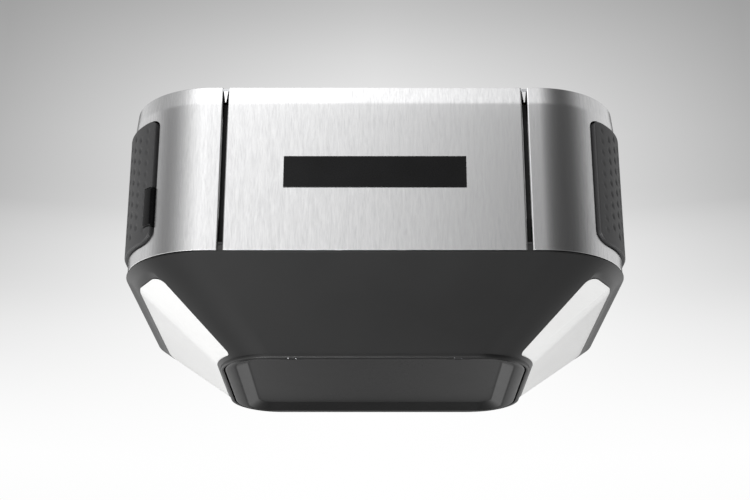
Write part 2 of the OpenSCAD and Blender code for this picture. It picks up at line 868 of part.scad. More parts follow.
module brush_holder() {
    x0 = commutator_rear + 0.5;
    x1 = commutator_front - 0.5;
    color("#5a3a20") difference() {
        x_cylinder(x0, x1, can_r - can_wall - 0.1);
        x_cylinder(x0 - 1, x1 + 1, commutator_r + 5);
    }
    color("#404040") for (s = [-1, 1])
        translate([(x0 + x1) / 2, motor_y + s * (commutator_r + 2.9), drive_z])
            cube([x1 - x0 - 1, 5.2, 6], center = true);
}

module motor_strap() {
    x0 = can_rear + 22;
    w = 12;
    t = 1.6;
    color("silver") {
        difference() {
            union() {
                x_cylinder(x0, x0 + w, can_r + t);
                block([x0, motor_y - can_r - t, drive_z], [x0 + w, motor_y + can_r + t, -plate_t]);
                block([x0, motor_y - can_r - 14, -plate_t - t], [x0 + w, motor_y + can_r + 14, -plate_t]);
            }
            x_cylinder(x0 - 1, x0 + w + 1, can_r);
            block([x0 - 1, motor_y - can_r, drive_z], [x0 + w + 1, motor_y + can_r, 1]);
        }
    }
}

module motor_shaft() {
    color("silver") {
        x_cylinder(shaft_rear, worm_start, shaft_r);
        x_cylinder(worm_start - 1, tunnel_end - 1, worm_bore_r);
    }
}

module armature_core() {
    color("gray") translate([core_rear, motor_y, drive_z]) rotate([0, 90, 0])
        linear_extrude(core_front - core_rear) difference() {
            circle(r = core_r);
            circle(r = shaft_r);
            for (k = [0 : 11]) rotate(30 * k) translate([core_r - 10, -1.2]) square([12, 2.4]);
        }
}

module armature_windings() {
    color("orangered") for (x = [core_rear - 7.5, core_front]) difference() {
        x_cylinder(x, x + 7.5, core_r - 5);
        x_cylinder(x - 1, x + 9, shaft_r);
    }
}

module commutator() {
    color("peru") translate([commutator_rear, motor_y, drive_z]) rotate([0, 90, 0])
        linear_extrude(commutator_front - commutator_rear) difference() {
            circle(r = commutator_r);
            circle(r = shaft_r);
            for (k = [0 : 11]) rotate(30 * k) translate([commutator_r - 1.5, -0.3]) square([3, 0.6]);
        }
}

// A round-threaded right-hand worm: an off-centre circle that turns once in each pitch
module motor_worm() {
    color("goldenrod") translate([worm_start, motor_y, drive_z]) rotate([0, 90, 0]) difference() {
        linear_extrude(worm_turns * worm_pitch, twist = -360 * worm_turns, slices = 10 * worm_turns)
            translate([tooth_a, 0]) circle(r = worm_r, $fn = 16);
        translate([0, 0, -1]) cylinder(r = worm_bore_r, h = 100);
    }
}

module speed_cup() {
    color("#202020") difference() {
        x_cylinder(cup_rear, cup_front, cup_r);
        x_cylinder(cup_rear - 1, cup_front - 1.5, cup_r - 1.2);
        x_cylinder(cup_rear, cup_front + 1, shaft_r);
        for (k = [0 : 3]) translate([cup_rear, motor_y, drive_z]) rotate([45 * k + 22.5, 0, 0])
            cube([12, 4, 3 * cup_r], center = true);
    }
}

// A small board on two posts, with a forked light gate round the wall of the cup
module speed_sensor() {
    x0 = cup_rear - 6;
    color("seagreen") block([x0, motor_y - 19, drive_z - 34], [x0 + board_t, motor_y + 19, drive_z - 12]);
    color("black") {
        block([x0 + board_t, motor_y - 6, drive_z - 19], [cup_rear - 1.5, motor_y + 6, drive_z - 8.5]);
        block([x0 + board_t, motor_y - 6, drive_z - 19], [cup_rear + 5, motor_y + 6, drive_z - cup_r - 1.2]);
        block([x0 + board_t, motor_y - 3, drive_z - cup_r + 2.6], [cup_rear + 5, motor_y + 3, drive_z - 8.5]);
    }
    color("silver") for (s = [-1, 1])
        translate([x0 + board_t, motor_y + s * 15, drive_z - 30]) rotate([0, 90, 0])
            cylinder(r = 2.5, h = bell_rear - x0 - board_t);
}

module isolators() {
    z0 = case_top_z + cover_t;
    color("black") for (x = [-isolator_x, isolator_x]) for (y = isolator_y)
        translate([x, y, z0]) difference() {
            cylinder(r = isolator_r, h = -plate_t - z0);
            translate([0, 0, -1]) cylinder(r = bolt_r + 0.3, h = 40);
        }
}

module isolator_bolts() {
    color("silver") for (x = [-isolator_x, isolator_x]) for (y = isolator_y) translate([x, y, 0]) {
        cylinder(r = 5.8, h = 3.6, $fn = 6);
        translate([0, 0, case_top_z + 1.2]) cylinder(r = bolt_r, h = -case_top_z - 1.2 + EPS);
    }
}

// ---------------------------------------------------------------- electronics

module logic_board() {
    color("seagreen") block([logic_x[0], logic_y, logic_z[0]], [logic_x[1], logic_y + board_t, logic_z[1]]);
    color("silver") for (x = [logic_x[0] + 5, logic_x[1] - 5]) for (z = [logic_z[0] + 5, logic_z[1] - 5])
        y_cylinder([x, z], logic_y + board_t, half_d - sheet_t, 3);
}

module logic_components() {
    color("#202020") for (x = [-88, -62]) block([x, logic_y - 16, -50], [x + 19, logic_y, -34]);
    color("#303c58") for (x = [-26, -10, 6]) y_cylinder([x, -44], logic_y - 18, logic_y, 6);
    color("silver") {
        block([-40, logic_y - 3, -98], [0, logic_y, -68]);
        for (k = [0 : 5]) block([-40 + 7.6 * k, logic_y - 16, -98], [-38 + 7.6 * k, logic_y - 2.9, -68]);
    }
    color("#202020") block([22, logic_y - 4, -70], [46, logic_y, -54]);
    // Push switches behind the buttons
    color("#202020") for (p = [up_pos, down_pos, adjust_pos, learn_pos])
        block([p.x - 3, logic_y + board_t, p.y - 3], [p.x + 3, logic_y + board_t + switch_h, p.y + 3]);
}

module terminal_block() {
    y1 = half_d + 3.5;
    pitch = (terminal_x[1] - terminal_x[0]) / 4;
    color("#e0e0d8") difference() {
        block([terminal_x[0], logic_y + board_t, terminal_z[0]], [terminal_x[1], y1, terminal_z[1]]);
        for (k = [0 : 3]) {
            x = terminal_x[0] + (k + 0.5) * pitch;
            block([x - 1.6, half_d - 9, terminal_z[0] + 4], [x + 1.6, y1 + 1, terminal_z[0] + 7.2]);
            block([x - 2.5, half_d - 2, terminal_z[1] - 8], [x + 2.5, y1 + 1, terminal_z[1] - 3]);
        }
    }
}

module control_bezel() {
    color("#242424") difference() {
        block([bezel_x[0], half_d, bezel_z[0]], [bezel_x[1], half_d + bezel_t, bezel_z[1]]);
        for (p = [up_pos, down_pos, learn_pos])
            y_cylinder(p, half_d - 1, half_d + bezel_t + 1, button_r + CLEAR);
        block([adjust_pos.x - adjust_w / 2 - CLEAR, half_d - 1, adjust_pos.y - button_r - CLEAR],
              [adjust_pos.x + adjust_w / 2 + CLEAR, half_d + bezel_t + 1, adjust_pos.y + button_r + CLEAR]);
    }
}

// A round cap with a slimmer stem that reaches its switch
module round_button(pos) {
    y_cylinder(pos, half_d - 3, half_d + bezel_t + button_travel + 0.8, button_r);
    y_cylinder(pos, button_inner_y, half_d - 3 + EPS, 3);
}

module up_button() { color("#484848") round_button(up_pos); }

module down_button() { color("#484848") round_button(down_pos); }

module adjust_button() {
    color("#484848") {
        block([adjust_pos.x - adjust_w / 2, half_d - 3, adjust_pos.y - button_r],
              [adjust_pos.x + adjust_w / 2, half_d + bezel_t + button_travel + 0.8, adjust_pos.y + button_r]);
        y_cylinder(adjust_pos, button_inner_y, half_d - 3 + EPS, 3);
    }
}

module learn_button() { color("gold") round_button(learn_pos); }

module power_board() {
    color("seagreen") block([power_x[0], power_y[0], power_z], [power_x[1], power_y[1], power_z + board_t]);
    color("#303c58") for (x = [84, 104]) translate([x, 52, power_z - 26]) cylinder(r = 8, h = 26);
    color("#202020") block([116, 66, power_z - 20], [142, 96, power_z]);
    color("gold") translate([88, 84, power_z - 12]) difference() {
        cylinder(r = 11, h = 12);
        translate([0, 0, -1]) cylinder(r = 5, h = 12);
    }
    color("silver") for (x = [power_x[0] + 5, power_x[1] - 5]) for (y = [power_y[0] + 5, power_y[1] - 5])
        translate([x, y, power_z + board_t]) cylinder(r = 3, h = -plate_t - power_z - board_t);
}

module transformer_core() {
    color("gray") translate([core_pos.x - core_w / 2, core_pos.y - core_d / 2, -plate_t - core_h])
        difference() {
            cube([core_w, core_d, core_h]);
            for (x = [limb, core_w - 2 * limb])
                translate([x, -1, limb]) cube([limb, core_d + 2, core_h - 2 * limb]);
        }
}

module transformer_coil() {
    hw = core_w / 2 - limb - 0.2;
    hd = core_d / 2 + 12;
    limb_half = core_w / 2 - 2 * limb + 0.1;
    color("#c9a227") translate([core_pos.x, core_pos.y, -plate_t - core_h + limb + 0.2]) difference() {
        translate([-hw, -hd, 0]) cube([2 * hw, 2 * hd, core_h - 2 * limb - 0.4]);
        translate([-limb_half, -core_d / 2 - 0.1, -1]) cube([2 * limb_half, core_d + 0.2, core_h]);
    }
}

module wire_harness() {
    in_y = logic_y - 0.2;
    mid_y = logic_y - 8;
    lead_x = (can_rear + bell_rear) / 2;
    // Motor leads, from the rear bell to the logic board
    color("black") wire([[lead_x, motor_y + 12, drive_z - can_r + 1], [lead_x, motor_y + 12, -96],
                         [lead_x, mid_y, -96], [-94, mid_y, -96], [-94, in_y, -96]], 1.6);
    color("red") wire([[lead_x, motor_y + 18, drive_z - can_r + 3], [lead_x, motor_y + 18, -91],
                       [lead_x, mid_y, -91], [-94, mid_y, -91], [-94, in_y, -91]], 1.6);
    // Light leads, up through the deck
    color("white") for (s = [-1, 1])
        wire([[s * (half_w - 46), 60, slope_top_z - 1], [s * 112, 60, slope_top_z - 1], [s * 112, 60, -84],
              [s * 112, mid_y, -84], [s * 48, mid_y, -84], [s * 48, in_y, -84]], 1.2);
    // Transformer leads
    color("blue") wire([[core_pos.x, core_pos.y + core_d / 2 + 12, -30], [core_pos.x, 26, -30], [60, 26, -30],
                        [60, mid_y, -30], [50, mid_y, -30], [50, in_y, -30]], 1.6);
}

// Strain bush for the power cord: a flanged bush through the rear panel with a lock nut inside
module cord_gland() {
    color("black") difference() {
        union() {
            y_cylinder(gland_pos, half_d - 14, half_d + 1, gland_r);
            y_cylinder(gland_pos, half_d, half_d + 3.5, gland_r + 3.5);
            y_cylinder(gland_pos, half_d + 3, half_d + 8, gland_r - 2);
            translate([gland_pos.x, half_d - sheet_t - 5, gland_pos.y]) rotate([-90, 0, 0])
                cylinder(r = gland_r + 4, h = 5, $fn = 6);
        }
        y_cylinder(gland_pos, half_d - 15, half_d + 9, cord_r);
    }
}

top_chassis();
front_panel();
rear_panel();
left_cover();
right_cover();
panel_seals();
left_grip();
right_grip();
release_tab();
badge_plate();
lower_housing();
left_lens();
right_lens();
left_led_board();
right_led_board();
leds();
bottom_door();
door_latch();
hinge_pins();
inner_deck();
battery();
battery_retainer();
battery_leads();
gear_case();
gear_case_cover();
shaft_bushings();
worm_wheel();
output_shaft();
drive_sprocket();
motor_can();
motor_front_bell();
motor_rear_bell();
motor_bearings();
motor_magnets();
brush_holder();
motor_strap();
motor_shaft();
armature_core();
armature_windings();
commutator();
motor_worm();
speed_cup();
speed_sensor();
isolators();
isolator_bolts();
logic_board();
logic_components();
terminal_block();
control_bezel();
up_button();
down_button();
adjust_button();
learn_button();
power_board();
transformer_core();
transformer_coil();
wire_harness();
cord_gland();
weld_nuts();
panel_screws();
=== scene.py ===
import json
import math
from collections import namedtuple

import bmesh
import bpy
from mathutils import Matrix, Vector


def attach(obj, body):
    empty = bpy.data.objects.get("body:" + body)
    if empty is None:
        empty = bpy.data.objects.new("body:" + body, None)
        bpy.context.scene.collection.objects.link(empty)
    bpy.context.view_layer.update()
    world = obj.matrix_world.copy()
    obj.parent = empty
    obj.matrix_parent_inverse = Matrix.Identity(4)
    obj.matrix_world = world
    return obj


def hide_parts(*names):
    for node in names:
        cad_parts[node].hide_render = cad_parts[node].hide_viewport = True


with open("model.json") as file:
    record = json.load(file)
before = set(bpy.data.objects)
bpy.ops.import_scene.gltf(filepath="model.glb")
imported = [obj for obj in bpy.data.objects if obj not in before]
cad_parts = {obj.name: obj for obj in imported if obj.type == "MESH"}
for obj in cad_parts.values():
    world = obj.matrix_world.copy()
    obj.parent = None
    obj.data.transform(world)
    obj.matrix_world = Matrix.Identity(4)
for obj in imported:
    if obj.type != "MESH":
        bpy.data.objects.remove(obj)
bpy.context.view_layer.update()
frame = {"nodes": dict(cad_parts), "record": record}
nodes = frame["nodes"]

# ---------------------------------------------------------------- sizes
# In millimetres, but for names that end in _M, which are in metres. Heights end in _Z, and Z is 0
# at the top face of the chassis.
MM = 0.001
MERGE_M = 0.00001
SLIVER_M = 0.000004
TOUCH = 1e-6
FAR = 99.0

# The steel band: its outline, and the sheets with their folds and the crease near their tops.
HALF_W = 190.0
HALF_D = 152.5
CORNER_R = 66.0
BAND_H = 131.0
SHEET_T = 1.2
EDGE_ROUND = 0.16
EDGE_STEPS = ((0.25, 0.3), (0.6, 0.75), (1.0, 1.0))
BORDER = 0.3
PANEL_HALF = 111.5
GAP_W = 3.2
RETURN_D = 11.0
RETURN_FOOT_Z = -106.0
RETURN_TOP_Z = -24.0
RETURN_MARGIN = 4.0
FOLD_R = 1.3
FOLD_STEPS = 8
FOLD_MARGIN = 0.5
FLAT_MARGIN = 6.0
COVER_MARGIN = 5.0
LEAN_FOOT_Z = -12.0
TOP_LEAN = 1.2
LEAN_SOFT = 0.8
CREASE_ROWS = [LEAN_FOOT_Z + rise for rise in (-2.0, -1.0, -0.4, 0.2, 0.8, 1.6, 3.0, 7.0)]
SHEET_TOP_Z = 1.2

# In the gaps: dark seals, and the small tabs that close the gaps' tops.
SEAL_SINK = 5.5
SEAL_HALF_W = 2.0
SEAL_FOOT_Z = -129.0
SEAL_TOP_Z = -11.0
CLOSER_ROWS = ((0.35, -11.5), (GAP_W / 2, -2.0), (GAP_W / 2, -1.0))
CLOSER_DEPTHS = (0.5, 1.3)

# Openings of the rear panel, across and up.
CUT_IN = 3.0
CUT_OUT = 1.0
KEY_SPOTS = ((-80.0, -62.5), (-80.0, -83.5), (-34.0, -73.0))
KEY_HOLE_R = 6.5
ADJUST_HOLE = ((-64.5, -79.5), (-49.5, -66.5))
TERMINAL_HOLE = ((1.6, -90.4), (42.4, -69.6))
GLAND_SPOT = (84.0, -95.0)
GLAND_HOLE_R = 9.7
VENT_COUNT = 6
VENT_PITCH = 5.0
VENT_X = 77.0
VENT_Z = -54.7
VENT_HALF_W = 21.0
VENT_HALF_H = 1.3
LOUVRE_HALF_W = 21.6
LOUVRE_HALF_T = 0.4
LOUVRE_D = 3.6
LOUVRE_SLANT = 0.55
LOUVRE_UP = 1.7

# The lower housing: lip and ring, slope and base.
LIP_OUT = 0.8
RING_IN = 1.6
RING_W = 4.4
RING_TOP_Z = -126.0
RING_EDGE = 0.6
LIP_TOP_Z = -132.1
SLOPE_TOP_Z = -133.2
SLOPE_FOOT_Z = -190.0
BASE_Z = -193.0
BASE_HALF_W = 121.0
BASE_HALF_D = 85.5
BASE_R = 42.0
HOUSING_WALL = 4.2
RIM_H = 6.9
SLOPE_SIN = math.sin(math.atan2(SLOPE_TOP_Z - SLOPE_FOOT_Z, HALF_W + LIP_OUT - BASE_HALF_W))

# The side lenses: window, rounded corners, crease and the flat strip before it.
LENS_TOP_Z = -140.6
LENS_FOOT_Z = -188.0
LENS_SHIFT = 35.0
LENS_GAP = 0.4
LENS_SINK = 0.3
LENS_WALL = 2.6
LENS_TOP_R = 9.0
LENS_FOOT_R = 4.5
LENS_MID_R = 54.0
LENS_SPAN = math.radians(46.5) * LENS_MID_R
LENS_EASE = [1 - math.cos(math.radians(90 * k / 8)) for k in range(9)]
CREASE_TOP = math.radians(31.5)
CREASE_FOOT = math.radians(15.0)
STRIP_SHARE = 0.42

# The grips, their openings and dimples, and the release tab in the left one.
GRIP_TOP_Z = -20.0
GRIP_FOOT_Z = -119.0
GRIP_TURN = math.radians(51.0)
OPENING_TURN = math.radians(52.9)
GRIP_OUT = 3.0
GRIP_GAP = 1.4
GRIP_R_TOP = 5.0
GRIP_R_FOOT = 9.0
GRIP_EDGE_R = 1.3
GRIP_BACK = 2.6
GRIP_EASE = [0.0, 0.05, 0.14, 0.3, 0.55, 0.9, 1.35, 1.9, 2.5]
GRIP_BORDER_U = 3.3
GRIP_BORDER_Z = 3.2
HOLE_HALF = HALF_D - CORNER_R + CORNER_R * math.sin(OPENING_TURN)
GRIP_HALF = HALF_D - CORNER_R + (CORNER_R + GRIP_OUT) * math.sin(GRIP_TURN)
DIMPLE_PITCH_U = 10.0
DIMPLE_PITCH_Z = 9.0
DIMPLE_DEPTH = 1.5
DIMPLE_HALF_W = 2.0
DIMPLE_HALF_H = 3.5
DIMPLE_SLANT = math.radians(24)
DIMPLE_FADE = 24.0
DIMPLE_CLEAR_TOP = 7.0
DIMPLE_CLEAR_FOOT = 8.0
TAB_ANGLE = math.radians(228.0)
TAB_Z = -91.5
TAB_W = 8.4
TAB_H = 31.0
TAB_POCKET = 0.4
TAB_OUT = 0.8
TAB_DEEP = 3.0
TAB_EDGE_R = 1.0
TAB_DOME = 0.25

# The bottom door, its pan and its hinges.
DOOR_HALF_W = 117.2
DOOR_HALF_D = 83.2
DOOR_R = 37.0
DOOR_GAP = 1.0
DOOR_T = 2.5
DOOR_BEVEL = 1.2
PAN_HALF_W = 107.7
PAN_HALF_D = 79.0
PAN_R = 21.0
PAN_FLOOR_HALF_W = 98.7
PAN_FLOOR_HALF_D = 66.0
PAN_FLOOR_R = 12.0
PAN_DEPTH = 4.5
PAN_T = 2.0
HINGE_X = 63.0
HINGE_W = 5.4
HINGE_Y = -81.3
HINGE_Z = -192.0
BARREL_R = 1.25
BARREL_L = 6.0
DOOR_CUT = HINGE_W / 2 + 0.3

# The blank badge plate.
BADGE_HALF_W = 68.0
BADGE_HALF_H = 12.5
BADGE_Z = -69.0
BADGE_T = 0.8

# Panel screws.
SCREW_SPOTS = [(sx * 181.8, sy * 55.0) for sx in (-1, 1) for sy in (-1, 1)]
SCREW_SPOTS += [(sx * 70.0, sy * 143.1) for sx in (-1, 1) for sy in (-1, 1)]
SCREW_HEAD_R = 4.0
SCREW_HEAD_H = 2.0
SCREW_SHANK_R = 1.9
SCREW_LENGTH = 8.0
SCREW_SEAT_Z = 0.02
SCREW_LOBE = 0.13


def lerp(a, b, t):
    return a + (b - a) * t


def spread(low, high, count):
    """Evenly spaced values from low to high."""
    return [lerp(low, high, i / (count - 1)) for i in range(count)]


# ---------------------------------------------------------------- finishes
class Finish:
    """A node material under construction, with Object coordinates."""

    def __init__(self, name, colour, roughness, metallic=0.0, **sockets):
        self.material = bpy.data.materials.new(name)
        self.material.use_nodes = True
        self.nodes = self.material.node_tree.nodes
        self.links = self.material.node_tree.links
        self.shader = self.nodes["Principled BSDF"]
        self.set("Base Color", (*colour, 1.0))
        self.set("Roughness", roughness)
        self.set("Metallic", metallic)
        for key, value in sockets.items():
            self.set(key.replace("_", " "), value)
        self.coords = self.nodes.new("ShaderNodeTexCoord").outputs["Object"]

    def set(self, socket, value):
        self.shader.inputs[socket].default_value = value

    def link(self, output, socket):
        self.links.new(output, self.shader.inputs[socket])

    def noise(self, stretch, detail=3.0, rough=0.55):
        """Noise with a number of cells for each metre along X, Y and Z."""
        mapping = self.nodes.new("ShaderNodeMapping")
        mapping.inputs["Scale"].default_value = stretch
        self.links.new(self.coords, mapping.inputs["Vector"])
        texture = self.nodes.new("ShaderNodeTexNoise")
        texture.inputs["Scale"].default_value = 1.0
        texture.inputs["Detail"].default_value = detail
        texture.inputs["Roughness"].default_value = rough
        self.links.new(mapping.outputs["Vector"], texture.inputs["Vector"])
        return texture.outputs["Fac"]

    def cells(self, stretch, feature="F1"):
        """Distance in a pattern of cells, with a number of them for each metre."""
        mapping = self.nodes.new("ShaderNodeMapping")
        mapping.inputs["Scale"].default_value = stretch
        self.links.new(self.coords, mapping.inputs["Vector"])
        texture = self.nodes.new("ShaderNodeTexVoronoi")
        texture.feature = feature
        texture.inputs["Scale"].default_value = 1.0
        self.links.new(mapping.outputs["Vector"], texture.inputs["Vector"])
        return texture.outputs["Distance"]

    def mix(self, a, b, amount=0.5):
        """A blend of two grey patterns."""
        node = self.nodes.new("ShaderNodeMix")
        node.inputs["Factor"].default_value = amount
        self.links.new(a, node.inputs["A"])
        self.links.new(b, node.inputs["B"])
        return node.outputs["Result"]

    def ramp(self, pattern, stops):
        """Colours along a pattern's values."""
        node = self.nodes.new("ShaderNodeValToRGB")
        elements = node.color_ramp.elements
        while len(elements) < len(stops):
            elements.new(0.5)
        for element, (place, colour) in zip(elements, stops):
            element.position = place
            element.color = (*colour, 1.0)
        self.links.new(pattern, node.inputs["Fac"])
        return node.outputs["Color"]

    def span(self, pattern, low, high, start=0.3, end=0.7):
        """The pattern's start to end as low to high."""
        node = self.nodes.new("ShaderNodeMapRange")
        node.inputs["From Min"].default_value = start
        node.inputs["From Max"].default_value = end
        node.inputs["To Min"].default_value = low
        node.inputs["To Max"].default_value = high
        self.links.new(pattern, node.inputs["Value"])
        return node.outputs["Result"]

    def bump(self, pattern, depth, strength=0.5):
        node = self.nodes.new("ShaderNodeBump")
        node.inputs["Strength"].default_value = strength
        node.inputs["Distance"].default_value = depth
        self.links.new(pattern, node.inputs["Height"])
        self.link(node.outputs["Normal"], "Normal")


def shade_range(colour, low, high):
    return tuple(c * low for c in colour), tuple(min(1.0, c * high) for c in colour)


def moulded(name, colour, roughness, grain=900.0, depth=0.00006, spread_by=0.12, **sockets):
    """Moulded plastic or rubber: a fine grain, faint flow marks and uneven gloss."""
    f = Finish(name, colour, roughness, **sockets)
    fine = f.noise((grain, grain, grain), detail=2.0)
    broad = f.noise((14.0, 14.0, 14.0), detail=4.0)
    dark, light = shade_range(colour, 1 - spread_by, 1 + spread_by)
    f.link(f.ramp(f.mix(broad, fine, 0.35), [(0.36, dark), (0.64, light)]), "Base Color")
    f.link(f.span(f.mix(broad, fine, 0.5), roughness - 0.06, roughness + 0.08), "Roughness")
    f.bump(fine, depth)
    return f.material


def sheet_steel(name, colour, roughness, grain, flake=0.1, depth=0.00004, **sockets):
    """Metal with a directed or even grain, given as cells for each metre on each axis."""
    f = Finish(name, colour, roughness, metallic=1.0, **sockets)
    fine = f.noise(grain, detail=4.0, rough=0.7)
    wide = f.noise(tuple(g * 0.22 for g in grain), detail=3.0, rough=0.6)
    both = f.mix(fine, wide, 0.45)
    dark, light = shade_range(colour, 1 - flake, 1 + flake)
    f.link(f.ramp(both, [(0.34, dark), (0.66, light)]), "Base Color")
    f.link(f.span(both, roughness + 0.07, roughness - 0.05), "Roughness")
    f.bump(fine, depth, 0.35)
    return f.material


def brushed_panel():
    """Stainless panel steel, brushed from top to bottom."""
    f = Finish("brushed_panel", (0.72, 0.72, 0.725), 0.23, metallic=1.0, Anisotropic=0.3)
    tangent = f.nodes.new("ShaderNodeTangent")
    tangent.direction_type = "RADIAL"
    tangent.axis = "Z"
    f.link(tangent.outputs["Tangent"], "Tangent")
    fine = f.noise((1500.0, 1500.0, 150.0), detail=5.0, rough=0.7)
    streak = f.noise((560.0, 560.0, 62.0), detail=4.0, rough=0.65)
    both = f.mix(fine, streak, 0.5)
    f.link(f.ramp(both, [(0.3, (0.63, 0.63, 0.637)), (0.5, (0.73, 0.73, 0.735)),
                         (0.7, (0.81, 0.81, 0.812))]), "Base Color")
    f.link(f.span(both, 0.27, 0.19), "Roughness")
    f.bump(both, 0.00004, 0.25)
    return f.material


def galvanised():
    """Zinc-plated chassis steel with soft spangle."""
    f = Finish("plated_steel", (0.6, 0.61, 0.63), 0.36, metallic=1.0)
    spangle = f.cells((260.0, 260.0, 260.0))
    cloud = f.noise((22.0, 22.0, 22.0), detail=5.0)
    both = f.mix(spangle, cloud, 0.7)
    f.link(f.ramp(both, [(0.2, (0.56, 0.57, 0.585)), (0.7, (0.65, 0.66, 0.675))]), "Base Color")
    f.link(f.span(both, 0.44, 0.3), "Roughness")
    f.bump(cloud, 0.00005, 0.3)
    return f.material


def frosted_lens():
    """White diffusing lens with a painted glow: a weak emission makes it brighter."""
    # Painted glow: the emission brightens the lens, with no lamp behind it.
    f = Finish("lens_white", (0.9, 0.9, 0.895), 0.32, Emission_Strength=0.13,
               Emission_Color=(1.0, 1.0, 0.99, 1.0), Specular_IOR_Level=0.4)
    fine = f.noise((1400.0, 1400.0, 1400.0), detail=2.0)
    cloud = f.noise((18.0, 18.0, 18.0), detail=2.0)
    f.link(f.ramp(cloud, [(0.3, (0.62, 0.62, 0.616)), (0.7, (0.66, 0.66, 0.655))]), "Base Color")
    f.link(f.span(fine, 0.28, 0.4), "Roughness")
    f.bump(fine, 0.00003, 0.25)
    return f.material


def gloss_black():
    """Polished black plate with a trace of dust in its gloss."""
    f = Finish("gloss_black", (0.003, 0.003, 0.0033), 0.28, Specular_IOR_Level=0.18)
    dust = f.noise((500.0, 500.0, 500.0), detail=4.0)
    cloud = f.noise((30.0, 30.0, 30.0), detail=3.0)
    f.link(f.ramp(cloud, [(0.3, (0.002, 0.002, 0.0022)), (0.7, (0.0045, 0.0045, 0.005))]),
           "Base Color")
    f.link(f.span(dust, 0.24, 0.34), "Roughness")
    return f.material


def circuit_board():
    """Green lacquered board with paler tracks."""
    f = Finish("green_board", (0.02, 0.14, 0.06), 0.35, Coat_Weight=0.3, Coat_Roughness=0.1)
    tracks = f.cells((260.0, 260.0, 260.0), "DISTANCE_TO_EDGE")
    f.link(f.ramp(tracks, [(0.02, (0.04, 0.2, 0.09)), (0.09, (0.015, 0.11, 0.05))]), "Base Color")
    f.bump(tracks, 0.00003, 0.3)
    return f.material


def wound(name, colour, metallic, pitch):
    """Close turns of wire or tape."""
    f = Finish(name, colour, 0.4, metallic=metallic)
    turns = f.noise((40.0, 40.0, pitch), detail=1.0)
    dark, light = shade_range(colour, 0.6, 1.15)
    f.link(f.ramp(turns, [(0.4, dark), (0.6, light)]), "Base Color")
    f.bump(turns, 0.0002, 0.5)
    return f.material


EVEN = (420.0, 420.0, 420.0)

# A finish for each material slot of the record.
FINISHES = {
    "plated_steel": galvanised(),
    "brushed_panel": brushed_panel(),
    "black_seal": moulded("black_seal", (0.006, 0.006, 0.006), 0.7, grain=500.0,
                          Specular_IOR_Level=0.25),
    "grip_plastic": moulded("grip_plastic", (0.034, 0.034, 0.035), 0.5, grain=1100.0,
                            depth=0.00008),
    "gloss_black": gloss_black(),
    "charcoal_plastic": moulded("charcoal_plastic", (0.0055, 0.0055, 0.0056), 0.36, grain=1500.0,
                                depth=0.00004),
    "lens_white": frosted_lens(),
    "white_board": moulded("white_board", (0.82, 0.82, 0.8), 0.35, grain=300.0, spread_by=0.04),
    "led_yellow": moulded("led_yellow", (0.95, 0.82, 0.4), 0.3, grain=1800.0, spread_by=0.05,
                          Emission_Color=(1.0, 0.95, 0.8, 1.0), Emission_Strength=0.6),
    "door_plastic": moulded("door_plastic", (0.005, 0.005, 0.0051), 0.3, grain=1500.0,
                            depth=0.00004),
    "bright_steel": sheet_steel("bright_steel", (0.74, 0.74, 0.76), 0.2, (1600.0, 160.0, 1600.0),
                                flake=0.05),
    "black_plastic": moulded("black_plastic", (0.018, 0.018, 0.019), 0.45),
    "battery_case": moulded("battery_case", (0.045, 0.05, 0.062), 0.5, grain=700.0),
    "red_wire": moulded("red_wire", (0.45, 0.02, 0.015), 0.4),
    "cast_alloy": sheet_steel("cast_alloy", (0.56, 0.57, 0.58), 0.46, EVEN, flake=0.14,
                              depth=0.0002),
    "bronze": sheet_steel("bronze", (0.56, 0.38, 0.18), 0.42, EVEN, flake=0.12, depth=0.00008),
    "natural_nylon": moulded("natural_nylon", (0.82, 0.78, 0.66), 0.42, grain=300.0,
                             spread_by=0.05),
    "blackened_steel": sheet_steel("blackened_steel", (0.09, 0.09, 0.1), 0.42, EVEN, flake=0.3,
                                   depth=0.00008),
    "brown_resin": moulded("brown_resin", (0.13, 0.06, 0.03), 0.5),
    "core_steel": sheet_steel("core_steel", (0.3, 0.3, 0.32), 0.5, (60.0, 60.0, 1800.0), flake=0.3),
    "copper": wound("copper", (0.7, 0.34, 0.17), 1.0, 900.0),
    "green_board": circuit_board(),
    "pale_plastic": moulded("pale_plastic", (0.7, 0.7, 0.64), 0.42, spread_by=0.05),
    "grey_key": moulded("grey_key", (0.13, 0.13, 0.135), 0.42, grain=1200.0),
    "yellow_key": moulded("yellow_key", (0.75, 0.5, 0.03), 0.3, grain=1200.0, Coat_Weight=0.3),
    "winding_tape": wound("winding_tape", (0.6, 0.42, 0.08), 0.0, 500.0),
    "black_wire": moulded("black_wire", (0.022, 0.022, 0.022), 0.42),
}


# ---------------------------------------------------------------- piece making
def mesh_of(name, shape, merge=False):
    """A mesh from points in millimetres and faces, with its faces turned outwards."""
    verts, faces = shape
    mesh = bpy.data.meshes.new(name)
    mesh.from_pydata([(x * MM, y * MM, z * MM) for x, y, z in verts], [], faces)
    bm = bmesh.new()
    bm.from_mesh(mesh)
    if merge:
        bmesh.ops.remove_doubles(bm, verts=bm.verts, dist=MERGE_M)
        bmesh.ops.dissolve_degenerate(bm, dist=SLIVER_M, edges=bm.edges)
    bmesh.ops.recalc_face_normals(bm, faces=bm.faces)
    if bm.calc_volume(signed=True) < 0:
        bmesh.ops.reverse_faces(bm, faces=bm.faces)
    bm.to_mesh(mesh)
    bm.free()
    return mesh


def placed(name, data):
    """An object in the scene, at the origin."""
    obj = bpy.data.objects.new(name, data)
    bpy.context.scene.collection.objects.link(obj)
    return obj


def flatten(obj):
    """Turns the modified shape into the piece's own mesh and takes the modifiers off."""
    graph = bpy.context.evaluated_depsgraph_get()
    mesh = bpy.data.meshes.new_from_object(obj.evaluated_get(graph), depsgraph=graph)
    obj.modifiers.clear()
    obj.data = mesh


